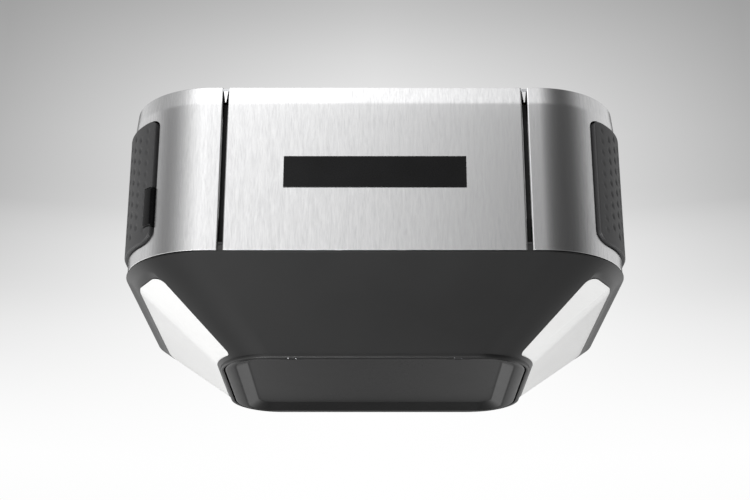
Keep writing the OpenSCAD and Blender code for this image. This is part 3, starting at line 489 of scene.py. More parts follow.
def finished(obj, slot, body, *stands_for, sharp=34.0, bevel=0.0, bevel_angle=38.0, cutters=()):
    """Cuts, rounds and shades a piece, gives it its finish and puts it on its body."""
    for tool in cutters:
        cut = obj.modifiers.new("cut", "BOOLEAN")
        cut.operation = "DIFFERENCE"
        cut.solver = "EXACT"
        cut.object = tool
    if bevel:
        edge = obj.modifiers.new("edge", "BEVEL")
        edge.width = bevel * MM
        edge.segments = 2
        edge.limit_method = "ANGLE"
        edge.angle_limit = math.radians(bevel_angle)
        edge.use_clamp_overlap = True
    if cutters or bevel:
        flatten(obj)
    for tool in cutters:
        bpy.data.objects.remove(tool)
    obj.data.materials.clear()
    obj.data.materials.append(FINISHES[slot])
    obj.data.shade_smooth()
    obj.data.set_sharp_from_angle(angle=math.radians(sharp))
    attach(obj, body)
    if stands_for:
        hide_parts(*stands_for)


def piece(name, shape, slot, body, *stands_for, **looks):
    """A closed piece from a shape in millimetres. It takes a slot's finish and rides on a body."""
    finished(placed(name, mesh_of(name, shape, merge=True)), slot, body, *stands_for, **looks)


def cutter(shape):
    """A hidden object that a piece is cut with."""
    obj = placed("cutter", mesh_of("cutter", shape))
    obj.hide_render = True
    return obj


# ---------------------------------------------------------------- shapes: points and faces
def box_shape(low, high):
    """A block between two corners."""
    (x0, y0, z0), (x1, y1, z1) = low, high
    verts = [(x, y, z) for z in (z0, z1) for y in (y0, y1) for x in (x0, x1)]
    faces = [(0, 2, 3, 1), (4, 5, 7, 6), (0, 1, 5, 4), (2, 6, 7, 3), (0, 4, 6, 2), (1, 3, 7, 5)]
    return verts, faces


def ringed(rings):
    """A closed shape through rings of equally many points."""
    n = len(rings[0])
    verts = [point for ring in rings for point in ring]
    faces = [(i * n + k, i * n + (k + 1) % n, (i + 1) * n + (k + 1) % n, (i + 1) * n + k)
             for i in range(len(rings) - 1) for k in range(n)]
    last = len(verts) - n
    return verts, faces + [tuple(range(n))[::-1], tuple(range(last, last + n))]


def rod_shape(centre, radius, start, end, axis, sides=48):
    """A rod along X or Y from start to end, with its centre given in the other two axes."""
    u0, v0 = centre
    turns = [2 * math.pi * k / sides for k in range(sides)]
    circle = [(u0 + radius * math.cos(a), v0 + radius * math.sin(a)) for a in turns]
    if axis == "x":
        return ringed([[(along, u, v) for u, v in circle] for along in (start, end)])
    return ringed([[(u, along, v) for u, v in circle] for along in (start, end)])


def joined(shapes):
    """Several closed shapes as one."""
    verts, faces = [], []
    for v, f in shapes:
        faces += [tuple(i + len(verts) for i in face) for face in f]
        verts += v
    return verts, faces


# An upright line of a wall. Low, mid and high are its rows of points under, beside and over a
# window, each as an outer and an inner list. Foot and top go over the wall's two free edges.
Row = namedtuple("Row", "inside edge low mid high foot top")


class Skin:
    """A shape that is built up row by row."""

    def __init__(self):
        self.verts, self.faces = [], []

    def put(self, x, y, z):
        self.verts.append((x, y, z))
        return len(self.verts) - 1

    def strip(self, a, b):
        """Faces between two rows of points."""
        for k in range(len(a) - 1):
            self.faces.append((a[k], a[k + 1], b[k + 1], b[k]))

    def sheet(self, rows):
        """Faces between each row of points and the next."""
        for a, b in zip(rows, rows[1:]):
            self.strip(a, b)

    def wall(self, rows):
        """A wall with two faces from row to row, open where both rows are inside a window."""
        for a, b in zip(rows, rows[1:]):
            self.strip(a.foot, b.foot)
            self.strip(a.top, b.top)
            if a.edge and b.edge and not (a.inside and b.inside):
                for s in (0, 1):
                    self.strip(a.low[s] + a.mid[s] + a.high[s], b.low[s] + b.mid[s] + b.high[s])
            else:
                for s in (0, 1):
                    self.strip(a.low[s], b.low[s])
                    self.strip(a.high[s], b.high[s])
                self.strip([line[-1] for line in a.low], [line[-1] for line in b.low])
                self.strip([line[0] for line in a.high], [line[0] for line in b.high])
        for row in rows:
            if row.inside and row.edge:
                self.sheet([[row.low[s][-1]] + row.mid[s] + [row.high[s][0]] for s in (0, 1)])

    def shape(self):
        return self.verts, self.faces


# ---------------------------------------------------------------- outlines
def corner(half_w, half_d, r, sx, sy, turn):
    """A point on a rounded corner and its normal. The turn goes from 0 at the front or rear to
    90 degrees at a side."""
    nx, ny = sx * math.sin(turn), sy * math.cos(turn)
    return sx * (half_w - r) + r * nx, sy * (half_d - r) + r * ny, nx, ny


def rounding(distance, radius):
    """How far a rounded edge has pulled back, at a distance from where its round ends."""
    if distance >= radius:
        return 0.0
    return radius - math.sqrt(max(0.0, radius ** 2 - (radius - distance) ** 2))


def lean(z):
    """How far the sheets lean inwards at a height, with a soft crease where the lean starts."""
    rise = max(-30.0, (z - LEAN_FOOT_Z) / LEAN_SOFT)
    return TOP_LEAN / -LEAN_FOOT_Z * LEAN_SOFT * math.log1p(math.exp(rise))


# ---------------------------------------------------------------- steel sheets
# An upright line of a sheet: its place, the sheet's and the band's normals there, the sheet's foot
# and top, and, beside the grip's opening, its distance from the opening's middle.
Station = namedtuple("Station", "x y n band_n foot top hole",
                     defaults=(-BAND_H, SHEET_TOP_Z, None))


def folded_return(x_edge, out, sy):
    """Stations from the end of a return, round its fold, to the face. The return faces out."""
    face_n = (0.0, float(sy))
    cx, cy = x_edge - out * FOLD_R, sy * (HALF_D - FOLD_R)
    made = [Station(x_edge, y, (float(out), 0.0), face_n, RETURN_FOOT_Z, RETURN_TOP_Z)
            for y in (sy * (HALF_D - RETURN_D), cy)]
    for k in range(1, FOLD_STEPS):
        a = math.radians(90 - 90 * k / FOLD_STEPS)
        n = (out * math.sin(a), sy * math.cos(a))
        limits = () if k > FOLD_STEPS / 2 else (RETURN_FOOT_Z, RETURN_TOP_Z)
        made.append(Station(cx + FOLD_R * n[0], cy + FOLD_R * n[1], n, face_n, *limits))
    return made + [Station(cx, sy * HALF_D, face_n, face_n)]


def panel_stations(sy):
    """Stations of the front panel (sy -1) or the rear panel (sy 1), between its two returns."""
    normal = (0.0, float(sy))
    left, right = (folded_return(sx * PANEL_HALF, sx, sy) for sx in (-1, 1))
    reach = right[-1].x - FOLD_MARGIN
    across = [-reach] + spread(-reach + FLAT_MARGIN, reach - FLAT_MARGIN, 9) + [reach]
    return left + [Station(x, sy * HALF_D, normal, normal) for x in across] + right[::-1]


def cover_stations(sx):
    """Stations of a side cover, from its front return round to its rear return."""

    def bend(turn, hole=None):
        x, y, nx, ny = corner(HALF_W, HALF_D, CORNER_R, sx, -1, turn)
        return Station(x, y, (nx, ny), (nx, ny), hole=hole)

    half = folded_return(sx * (PANEL_HALF + GAP_W), -sx, -1)
    fold_end = half[-1]
    half += [fold_end._replace(x=fold_end.x + sx * step) for step in (FOLD_MARGIN, COVER_MARGIN)]
    half += [bend(turn) for turn in spread(0.0, math.pi / 2 - OPENING_TURN, 30)]
    foot_r = GRIP_R_FOOT + GRIP_GAP
    holes = [HOLE_HALF - foot_r * (1 - math.cos(math.radians(90 * k / 12))) for k in range(13)]
    holes += spread(HOLE_HALF - foot_r, HALF_D - CORNER_R, 22)[1:]
    for hole in holes:
        half.append(bend(math.acos(max(0.0, (hole - HALF_D + CORNER_R) / CORNER_R)), hole))
    normal = (float(sx), 0.0)
    half += [Station(sx * HALF_W, -y, normal, normal, hole=y)
             for y in spread(HALF_D - CORNER_R, 0.0, 6)[1:]]
    rear = [s._replace(y=-s.y, n=(s.n[0], -s.n[1]), band_n=(s.band_n[0], -s.band_n[1]))
            for s in half[:-1]]
    return half + rear[::-1]


def steel_sheet(name, stations, stands_for, cutters=()):
    """A bent sheet with rounded edges, and the grip's opening where its stations have one."""
    skin = Skin()
    foot_r, top_r = GRIP_R_FOOT + GRIP_GAP, GRIP_R_TOP + GRIP_GAP
    hole_foot, hole_top = GRIP_FOOT_Z - GRIP_GAP, GRIP_TOP_Z + GRIP_GAP

    def put(station, z, depth):
        shift = lean(z)
        return skin.put(station.x - station.n[0] * depth - station.band_n[0] * shift,
                        station.y - station.n[1] * depth - station.band_n[1] * shift, z)

    def both(station, heights):
        """The outer and the inner points at some heights."""
        return [[put(station, z, depth) for z in heights] for depth in (0.0, SHEET_T)]

    def over(station, z, sign):
        """Points over a free edge from outside to inside: flat, with two softened corners."""
        steps = [(EDGE_ROUND * run, z + sign * EDGE_ROUND * rise) for run, rise in EDGE_STEPS]
        made = [put(station, height, run) for run, height in steps]
        return made + [put(station, height, SHEET_T - run) for run, height in steps[::-1]]

    rows = []
    for station in stations:
        foot, top = station.foot + EDGE_ROUND, station.top - EDGE_ROUND
        inside = station.hole is not None
        reach = HOLE_HALF - station.hole if inside else 0.0
        edge = reach < TOUCH
        if inside:
            z_foot = hole_foot + rounding(reach, foot_r)
            z_top = hole_top - rounding(reach, top_r)
        else:
            z_foot = max(hole_foot + foot_r, foot + RETURN_MARGIN)
            z_top = min(hole_top - top_r, top - RETURN_MARGIN)
        crease = [z for z in CREASE_ROWS if z < top - BORDER]
        if not crease:
            crease = spread(z_top, top, len(CREASE_ROWS) + 2)[1:-1]
        low = both(station, [foot, foot + BORDER] + spread(foot + 4 * BORDER, z_foot, 4))
        high = both(station, [z_top] + crease + [top - BORDER, top])
        mid = both(station, spread(z_foot, z_top, 16)[1:-1] if edge else [])
        rows.append(Row(inside, edge, low, mid, high,
                        [low[0][0]] + over(station, foot, -1) + [low[1][0]],
                        [high[0][-1]] + over(station, top, 1) + [high[1][-1]]))
    skin.wall(rows)
    for row in (rows[0], rows[-1]):
        skin.sheet([row.low[s] + row.mid[s] + row.high[s] for s in (0, 1)])
        skin.faces += [tuple(row.foot), tuple(row.top)]
    piece(name, skin.shape(), "brushed_panel", "chassis", stands_for, sharp=40.0, cutters=cutters)


steel_sheet("front_sheet", panel_stations(-1), "front_panel")
steel_sheet("left_side_sheet", cover_stations(-1), "left_cover")
steel_sheet("right_side_sheet", cover_stations(1), "right_cover")


# The rear sheet has openings for the keys, the terminals, the cord gland and the vents.
def rear_box(low, high):
    """A cutter through the rear sheet, between two corners given across and up."""
    return cutter(box_shape((low[0], HALF_D - CUT_IN, low[1]),
                            (high[0], HALF_D + CUT_OUT, high[1])))


def rear_rod(spot, radius):
    return cutter(rod_shape(spot, radius, HALF_D - CUT_IN, HALF_D + CUT_OUT, "y"))


rear_cuts = [rear_rod(spot, KEY_HOLE_R) for spot in KEY_SPOTS]
rear_cuts += [rear_rod(GLAND_SPOT, GLAND_HOLE_R), rear_box(*ADJUST_HOLE), rear_box(*TERMINAL_HOLE)]
for k in range(VENT_COUNT):
    vent_z = VENT_Z + VENT_PITCH * k
    rear_cuts.append(rear_box((VENT_X - VENT_HALF_W, vent_z - VENT_HALF_H),
                              (VENT_X + VENT_HALF_W, vent_z + VENT_HALF_H)))
steel_sheet("rear_sheet", panel_stations(1), "rear_panel", cutters=rear_cuts)

# Each gap has a dark seal sunk behind it, and a small pointed steel tab that closes its top.
seals, closers = [], []
for sx in (-1, 1):
    for sy in (-1, 1):
        middle = sx * (PANEL_HALF + GAP_W / 2)
        face, back = sorted((sy * (HALF_D - SEAL_SINK), sy * (HALF_D - RETURN_D)))
        seals.append(box_shape((middle - SEAL_HALF_W, face, SEAL_FOOT_Z),
                               (middle + SEAL_HALF_W, back, SEAL_TOP_Z)))
        levels = []
        for half, z in CLOSER_ROWS:
            slope = TOP_LEAN * max(0.0, z - LEAN_FOOT_Z) / -LEAN_FOOT_Z
            front, rear = (sy * (HALF_D - depth - slope) for depth in CLOSER_DEPTHS)
            levels.append([(middle - half, front, z), (middle + half, front, z),
                           (middle + half, rear, z), (middle - half, rear, z)])
        closers.append(ringed(levels))
piece("gap_seals", joined(seals), "black_seal", "chassis", "panel_seals", bevel=0.4)
piece("gap_top_tabs", joined(closers), "brushed_panel", "chassis")


# ---------------------------------------------------------------- grips
def dimple(u, z, side):
    """Depth of the slanted dimples, 0 to 1, at a distance along the grip and a height."""
    depth = 0.0
    column = round(u / DIMPLE_PITCH_U)
    for c in (column - 1, column, column + 1):
        offset = 0.5 * DIMPLE_PITCH_Z if c % 2 else 0.0
        row = round((z - offset) / DIMPLE_PITCH_Z)
        for r in (row - 1, row, row + 1):
            cu, cz = c * DIMPLE_PITCH_U, r * DIMPLE_PITCH_Z + offset
            if not GRIP_FOOT_Z + DIMPLE_CLEAR_FOOT <= cz <= GRIP_TOP_Z - DIMPLE_CLEAR_TOP:
                continue
            du, dz = u - cu, z - cz
            slant = DIMPLE_SLANT if cu * side < 0 else -DIMPLE_SLANT
            a = (du * math.cos(slant) + dz * math.sin(slant)) / DIMPLE_HALF_W
            b = (-du * math.sin(slant) + dz * math.cos(slant)) / DIMPLE_HALF_H
            q = a * a + b * b
            if q < 1.0:
                depth = max(depth, (1 - q) ** 1.5)
    return depth


def corner_gap(du, dz, r):
    """Distance to the edge near a rounded corner, from the distances to its two sides."""
    if du >= r or dz >= r:
        return FAR
    return r - math.hypot(r - du, r - dz)


def tab_point(along, across, up):
    """A point near the release tab: outwards from the corner's centre, across, and up."""
    c, s = math.cos(TAB_ANGLE), math.sin(TAB_ANGLE)
    return (CORNER_R - HALF_W + along * c - across * s,
            CORNER_R - HALF_D + along * s + across * c, TAB_Z + up)


def grip(sx, name, stands_for):
    """A moulded grip: a plate with a rounded edge, and dimples that deepen towards the side."""
    skin = Skin()
    flat = HALF_D - CORNER_R
    total = flat + (CORNER_R + GRIP_OUT) * GRIP_TURN
    height = GRIP_TOP_Z - GRIP_FOOT_Z
    us = [total - e for e in GRIP_EASE] + spread(total - GRIP_BORDER_U, 0.0, 156)
    us += [-u for u in us[-2::-1]]
    ease = [e / height for e in GRIP_EASE]
    border = GRIP_BORDER_Z / height
    ts = ease + spread(border, 1 - border, 112) + [1 - t for t in ease[::-1]]

    def place(u, depth):
        """Plan position at a distance along the grip, at a depth under its face."""
        r = CORNER_R + GRIP_OUT - depth
        turn = max(0.0, abs(u) - flat) / (CORNER_R + GRIP_OUT)
        x = HALF_W - CORNER_R + r * math.cos(turn)
        y = min(abs(u), flat) + r * math.sin(turn)
        return sx * x, math.copysign(y, u)

    grid, back = [], []
    for u in us:
        end_gap = total - abs(u)
        side_gap = GRIP_HALF - abs(place(u, 0.0)[1])
        z_foot = GRIP_FOOT_Z + rounding(side_gap, GRIP_R_FOOT)
        z_top = GRIP_TOP_Z - rounding(side_gap, GRIP_R_TOP)
        fade = min(1.0, max(0.0, (end_gap - 3.0) / DIMPLE_FADE))
        deep = DIMPLE_DEPTH * (0.25 + 0.75 * fade)
        column = []
        for t in ts:
            z = lerp(z_foot, z_top, t)
            edge = min(z - z_foot, z_top - z, end_gap,
                       corner_gap(end_gap, z - GRIP_FOOT_Z, GRIP_R_FOOT),
                       corner_gap(end_gap, GRIP_TOP_Z - z, GRIP_R_TOP))
            drop = rounding(max(0.0, edge), GRIP_EDGE_R) + deep * dimple(u, z, sx)
            column.append(skin.put(*place(u, drop), z))
        grid.append(column)
    for u, column in zip(us, grid):
        x, y = place(u, GRIP_OUT + GRIP_BACK)
        back.append([skin.put(x, y, skin.verts[v][2]) for v in (column[0], column[-1])])
    skin.sheet(grid)
    skin.sheet(back)
    for end in (0, -1):
        skin.sheet([[column[end] for column in grid], [line[end] for line in back]])
        skin.faces.append(tuple(grid[end]) + tuple(back[end][::-1]))
    pocket = []
    if sx < 0:
        half_w, half_h = TAB_W / 2 + TAB_POCKET, TAB_H / 2 + TAB_POCKET
        verts, faces = box_shape((CORNER_R - 5.0, -half_w, -half_h),
                                 (CORNER_R + 10.0, half_w, half_h))
        pocket.append(cutter(([tab_point(*v) for v in verts], faces)))
    piece(name, skin.shape(), "grip_plastic", "chassis", stands_for, sharp=60.0, cutters=pocket)


def release_tab():
    """The release tab: a key with a slightly domed face and rounded edges."""
    skin = Skin()
    half_w, half_h = TAB_W / 2, TAB_H / 2
    grid, spots = [], []
    for a in spread(-1.0, 1.0, 13):
        column = []
        for b in spread(-1.0, 1.0, 33):
            edge = min(half_w * (1 - abs(a)), half_h * (1 - abs(b)))
            along = CORNER_R + GRIP_OUT + TAB_OUT - rounding(edge, TAB_EDGE_R)
            along -= TAB_DOME * (a * a + 0.5 * b * b)
            spots.append((a * half_w, b * half_h))
            column.append(skin.put(*tab_point(along, *spots[-1])))
        grid.append(column)
    skin.sheet(grid)
    rim = grid[0] + [column[-1] for column in grid[1:]]
    rim += grid[-1][-2::-1] + [column[0] for column in grid[-2:0:-1]]
    back = [skin.put(*tab_point(CORNER_R - TAB_DEEP, *spots[v])) for v in rim]
    skin.strip(rim + rim[:1], back + back[:1])
    skin.faces.append(tuple(back))
    piece("release_key", skin.shape(), "gloss_black", "tab", "release_tab", sharp=45.0)


grip(-1, "left_grip_pad", "left_grip")
grip(1, "right_grip_pad", "right_grip")
release_tab()

badge = box_shape((-BADGE_HALF_W, -HALF_D - BADGE_T, BADGE_Z - BADGE_HALF_H),
                  (BADGE_HALF_W, -HALF_D, BADGE_Z + BADGE_HALF_H))
piece("blank_badge", badge, "gloss_black", "chassis", "badge_plate", bevel=0.25, sharp=20.0)


# ---------------------------------------------------------------- lower housing and side lenses
# An upright line of the slope. A corner's share is 0 to 1 up to the lens edge and 1 to 2 from
# there to the side, and a flat's is -1 to 1 across it. The gap is its distance from the nearest
# lens edge, or None where there is no lens.
Column = namedtuple("Column", "kind sx sy share gap")


def taper(z):
    """Half width, half depth and corner radius of the slope at a height."""
    t = (SLOPE_TOP_Z - z) / (SLOPE_TOP_Z - SLOPE_FOOT_Z)
    top = (HALF_W + LIP_OUT, HALF_D + LIP_OUT, CORNER_R + LIP_OUT)
    return tuple(lerp(a, b, t) for a, b in zip(top, (BASE_HALF_W, BASE_HALF_D, BASE_R)))


def lens_turn(z, shift=LENS_SHIFT):
    """Turn on a corner at which the lens starts. Its edge runs down the corner's diagonal."""
    half_w, half_d, r = taper(z)
    reach = (shift - (half_w - half_d)) / r
    return math.pi / 4 + math.asin(reach / math.sqrt(2))


def outline(half_w, half_d, r, column, z=SLOPE_FOOT_Z, inset=0.0):
    """A column's point on a level outline. The height sets where the lens edge is."""
    kind, sx, sy, share, _ = column
    if kind == "front":
        return share * (half_w - r), sy * (half_d - inset)
    if kind == "side":
        return sx * (half_w - inset), share * (half_d - r)
    start = lens_turn(z)
    turn = share * start if share <= 1 else lerp(start, math.pi / 2, share - 1)
    x, y, nx, ny = corner(half_w, half_d, r, sx, sy, turn)
    return x - nx * inset, y - ny * inset


def around():
    """The columns of the slope, once round."""
    past = [e * LENS_TOP_R / LENS_SPAN for e in LENS_EASE]
    past += [lerp(past[-1], 1.0, k / 12) for k in range(1, 13)]
    shares = [(share, None) for share in spread(0.0, 1.0, 15)[:-1]]
    shares += [(1 + share, share * LENS_SPAN) for share in past]

    def bend(sx, sy):
        run = [Column("corner", sx, sy, share, gap) for share, gap in shares]
        return run if sx == sy else run[::-1]

    def flat(kind, sx, sy, direction, gap=None):
        return [Column(kind, sx, sy, direction * share, gap)
                for share in spread(-1.0, 1.0, 9)[1:-1]]

    return (bend(-1, -1) + flat("side", -1, 0, 1, FAR) + bend(-1, 1) + flat("front", 0, 1, 1)
            + bend(1, 1) + flat("side", 1, 0, -1, FAR) + bend(1, -1) + flat("front", 0, -1, -1))


def window_heights(gap, shrink=0.0):
    """Foot and top of the lens window at a distance from its edge."""
    foot_r, top_r = LENS_FOOT_R - shrink, LENS_TOP_R - shrink
    foot = LENS_FOOT_Z + shrink + SLOPE_SIN * rounding(max(0.0, gap), foot_r)
    top = LENS_TOP_Z - shrink - SLOPE_SIN * rounding(max(0.0, gap), top_r)
    return foot, top


def tapered_shell():
    """The lower housing: lip and ring at the top, two lens windows, and a rim round the door."""
    skin, rows = Skin(), []
    ring_in = RING_IN + LIP_OUT
    lip = [(LIP_TOP_Z - 0.55, 0.0), (LIP_TOP_Z - 0.16, 0.16), (LIP_TOP_Z, 0.55),
           (LIP_TOP_Z, ring_in), (RING_TOP_Z - RING_EDGE, ring_in),
           (RING_TOP_Z, ring_in + RING_EDGE), (RING_TOP_Z, ring_in + RING_W),
           (SLOPE_TOP_Z, ring_in + RING_W)]
    base = [(0.0, BASE_Z + 0.9), (0.27, BASE_Z + 0.27), (0.9, BASE_Z)]
    rim = [(DOOR_GAP + 0.25, BASE_Z), (DOOR_GAP, BASE_Z + 0.3), (DOOR_GAP, BASE_Z + RIM_H)]
    for column in around():
        inside = column.gap is not None
        edge = not inside or column.gap < TOUCH
        foot, top = window_heights(column.gap if inside else 0.0)

        def both(heights):
            return [[skin.put(*outline(*taper(z), column, z, inset), z) for z in heights]
                    for inset in (0.0, HOUSING_WALL)]

        low = both([SLOPE_FOOT_Z, lerp(SLOPE_FOOT_Z, foot, 0.5), foot])
        mid = both(spread(foot, top, 12)[1:-1] if edge else [])
        high = both([top, lerp(top, SLOPE_TOP_Z, 0.4), lerp(top, SLOPE_TOP_Z, 0.8), SLOPE_TOP_Z])
        over_top = [skin.put(*outline(*taper(SLOPE_TOP_Z), column, SLOPE_TOP_Z, inset), z)
                    for z, inset in lip]
        under = [skin.put(*outline(BASE_HALF_W - inset, BASE_HALF_D - inset, BASE_R - inset,
                                   column), z) for inset, z in base]
        under += [skin.put(*outline(DOOR_HALF_W + grow, DOOR_HALF_D + grow, DOOR_R + grow,
                                    column), z) for grow, z in rim]
        rows.append(Row(inside, edge, low, mid, high, [low[0][0]] + under + [low[1][0]],
                        [high[0][-1]] + over_top + [high[1][-1]]))
    skin.wall(rows + rows[:1])
    piece("tapered_shell", skin.shape(), "charcoal_plastic", "chassis", "lower_housing", sharp=50.0)


def side_lens(sx, name, stands_for):
    """A diffusing lens that fills its window: a flat strip at each corner, a crease, the side."""
    skin = Skin()
    shift = LENS_SHIFT + LENS_GAP * math.sqrt(2)
    strip_w = (CREASE_TOP + CREASE_FOOT) / 2 * LENS_MID_R
    shares = [e * LENS_TOP_R / strip_w * STRIP_SHARE for e in LENS_EASE]
    shares += [lerp(shares[-1], STRIP_SHARE, k / 9) for k in range(1, 10)]
    shares += [lerp(STRIP_SHARE, 1.0, k / 14) for k in range(1, 15)]
    columns = [(-1, share) for share in shares]
    columns += [(0, across) for across in spread(-1.0, 1.0, 11)[1:-1]]
    columns += [(1, share) for share in shares[::-1]]

    def place(sy, share, z, inset):
        """The strip is straight across from the lens edge to the crease."""
        half_w, half_d, r = taper(z)
        if sy == 0:
            return sx * (half_w - inset), share * (half_d - r)
        start = lens_turn(z, shift)
        fall = (LENS_TOP_Z - z) / (LENS_TOP_Z - LENS_FOOT_Z)
        crease = start + lerp(CREASE_TOP, CREASE_FOOT, fall)

        def bend(turn):
            x, y, nx, ny = corner(half_w, half_d, r, sx, sy, turn)
            return x - nx * inset, y - ny * inset

        if share > STRIP_SHARE:
            past = (share - STRIP_SHARE) / (1 - STRIP_SHARE)
            return bend(lerp(crease, math.pi / 2, past))
        return tuple(lerp(a, b, share / STRIP_SHARE) for a, b in zip(bend(start), bend(crease)))

    outer, inner = [], []
    for sy, share in columns:
        gap = FAR if sy == 0 else share / STRIP_SHARE * strip_w
        foot, top = window_heights(gap, LENS_GAP)
        heights = spread(foot, top, 22)
        line = []
        for z in heights:
            soft = 0.7 * rounding(min(z - foot, top - z, gap), 0.5)
            line.append(skin.put(*place(sy, share, z, LENS_SINK + soft), z))
        outer.append(line)
        inner.append([skin.put(*place(sy, share, z, LENS_SINK + LENS_WALL), z) for z in heights])
    skin.sheet(outer)
    skin.sheet(inner)
    for end in (0, -1):
        skin.sheet([[line[end] for line in outer], [line[end] for line in inner]])
        skin.strip(outer[end], inner[end])
    piece(name, skin.shape(), "lens_white", "chassis", stands_for, sharp=6.0)


def hinge_rod(x0, x1):
    """A piece of hinge barrel on the door's axis."""
    return rod_shape((HINGE_Y, HINGE_Z), BARREL_R, min(x0, x1), max(x0, x1), "x", 32)


lugs = []
for s in (-1, 1):
    x0, x1 = s * HINGE_X - HINGE_W / 2, s * HINGE_X + HINGE_W / 2
    lugs += [hinge_rod(x0, x1), box_shape((x0, -DOOR_HALF_D - DOOR_GAP - 0.4, BASE_Z + 0.05),
                                          (x1, HINGE_Y, HINGE_Z + BARREL_R))]
tapered_shell()
piece("hinge_lugs", joined(lugs), "charcoal_plastic", "chassis", sharp=40.0)
side_lens(-1, "left_light_lens", "left_lens")
side_lens(1, "right_light_lens", "right_lens")


# ---------------------------------------------------------------- bottom door and its hinges
def bottom_door():
    """The door: a rounded plate with a shallow pan sunk in its face, notched at its hinges."""
    columns = around()
    top_z, floor_z = BASE_Z + DOOR_T, BASE_Z + PAN_DEPTH
    back_z = floor_z + PAN_T
    plate = (DOOR_HALF_W, DOOR_HALF_D, DOOR_R)
    mouth = (PAN_HALF_W, PAN_HALF_D, PAN_R)
    floor = (PAN_FLOOR_HALF_W, PAN_FLOOR_HALF_D, PAN_FLOOR_R)

    def grown(size, grow, z):
        return (*(value + grow for value in size), z)

    def scaled(size, share, z):
        return (*(value * share for value in size), z)

    loops = [scaled(floor, share, back_z) for share in (0.02, 0.5)]
    loops += [grown(floor, 1, back_z), grown(floor, 2, back_z - 0.5)]
    loops += [(PAN_HALF_W + 1, PAN_HALF_D + 0.6, PAN_R, top_z)]
    loops += [grown(plate, -0.3, top_z), grown(plate, 0, top_z - 0.3)]
    loops += [grown(plate, -inset, BASE_Z + up)
              for inset, up in ((0.0, DOOR_BEVEL), (0.25, 0.6), (0.7, 0.15), (DOOR_BEVEL, 0.0))]
    loops += [grown(mouth, grow, BASE_Z) for grow in (1.6, 0.5)]
    for share in (0.03, 0.09, 0.91, 0.97):
        size = (lerp(a, b, share) for a, b in zip(mouth, floor))
        loops.append((*size, BASE_Z + PAN_DEPTH * share))
    loops += [grown(floor, -shrink, floor_z) for shrink in (0.4, 1.6)]
    loops += [scaled(floor, share, floor_z) for share in (0.5, 0.02)]
    shape = ringed([[(*outline(half_w, half_d, r, column), z) for column in columns]
                    for half_w, half_d, r, z in loops])
    notches = [cutter(box_shape((s * HINGE_X - DOOR_CUT, -DOOR_HALF_D - 1, BASE_Z - 2),
                                (s * HINGE_X + DOOR_CUT, HINGE_Y + BARREL_R + 0.4, BASE_Z + 8.5)))
               for s in (-1, 1)]
    piece("access_door", shape, "door_plastic", "door", "bottom_door", sharp=50.0, cutters=notches)


barrels = []
for s in (-1, 1):
    for side in (-1, 1):
        barrels.append(hinge_rod(s * HINGE_X + side * DOOR_CUT,
                                 s * HINGE_X + side * (DOOR_CUT + BARREL_L)))
bottom_door()
piece("door_barrels", joined(barrels), "door_plastic", "door", sharp=40.0)


# ---------------------------------------------------------------- CAD pieces with softened edges
def softened(node, name, slot, body, bevel):
    """A merged copy of a CAD node with its edges rounded."""
    mesh = nodes[node].data.copy()
    bm = bmesh.new()
    bm.from_mesh(mesh)
    bmesh.ops.remove_doubles(bm, verts=bm.verts, dist=MERGE_M)
    bmesh.ops.dissolve_limit(bm, angle_limit=math.radians(1.0), verts=bm.verts, edges=bm.edges)
    bm.to_mesh(mesh)
    bm.free()
    finished(placed(name, mesh), slot, body, node, sharp=20.0, bevel=bevel, bevel_angle=40.0)


for node, name, slot, body, bevel in (
        ("control_bezel", "rear_control_bezel", "charcoal_plastic", "chassis", 0.5),
        ("up_button", "up_key_cap", "grey_key", "up_key", 0.4),
        ("down_button", "down_key_cap", "grey_key", "down_key", 0.4),
        ("adjust_button", "adjust_key_cap", "grey_key", "adjust_key", 0.5),
        ("learn_button", "learn_key_cap", "yellow_key", "learn_key", 0.4),
        ("terminal_block", "wire_terminals", "pale_plastic", "chassis", 0.25),
        ("cord_gland", "cord_inlet_gland", "black_plastic", "chassis", 0.4),
        ("drive_sprocket", "chain_sprocket", "blackened_steel", "output", 0.35),
        ("output_shaft", "drive_output_shaft", "bright_steel", "output", 0.4),
        ("door_latch", "door_snap", "door_plastic", "door", 0.2)):
    softened(node, name, slot, body, bevel)

# The other CAD pieces keep their shape and take their slot's finish.
for part in frame["record"]["subparts"]:
    node = nodes[part["node"]]
    if not node.hide_render:
        node.data.materials.clear()
        node.data.materials.append(FINISHES[part["material_slot"]])


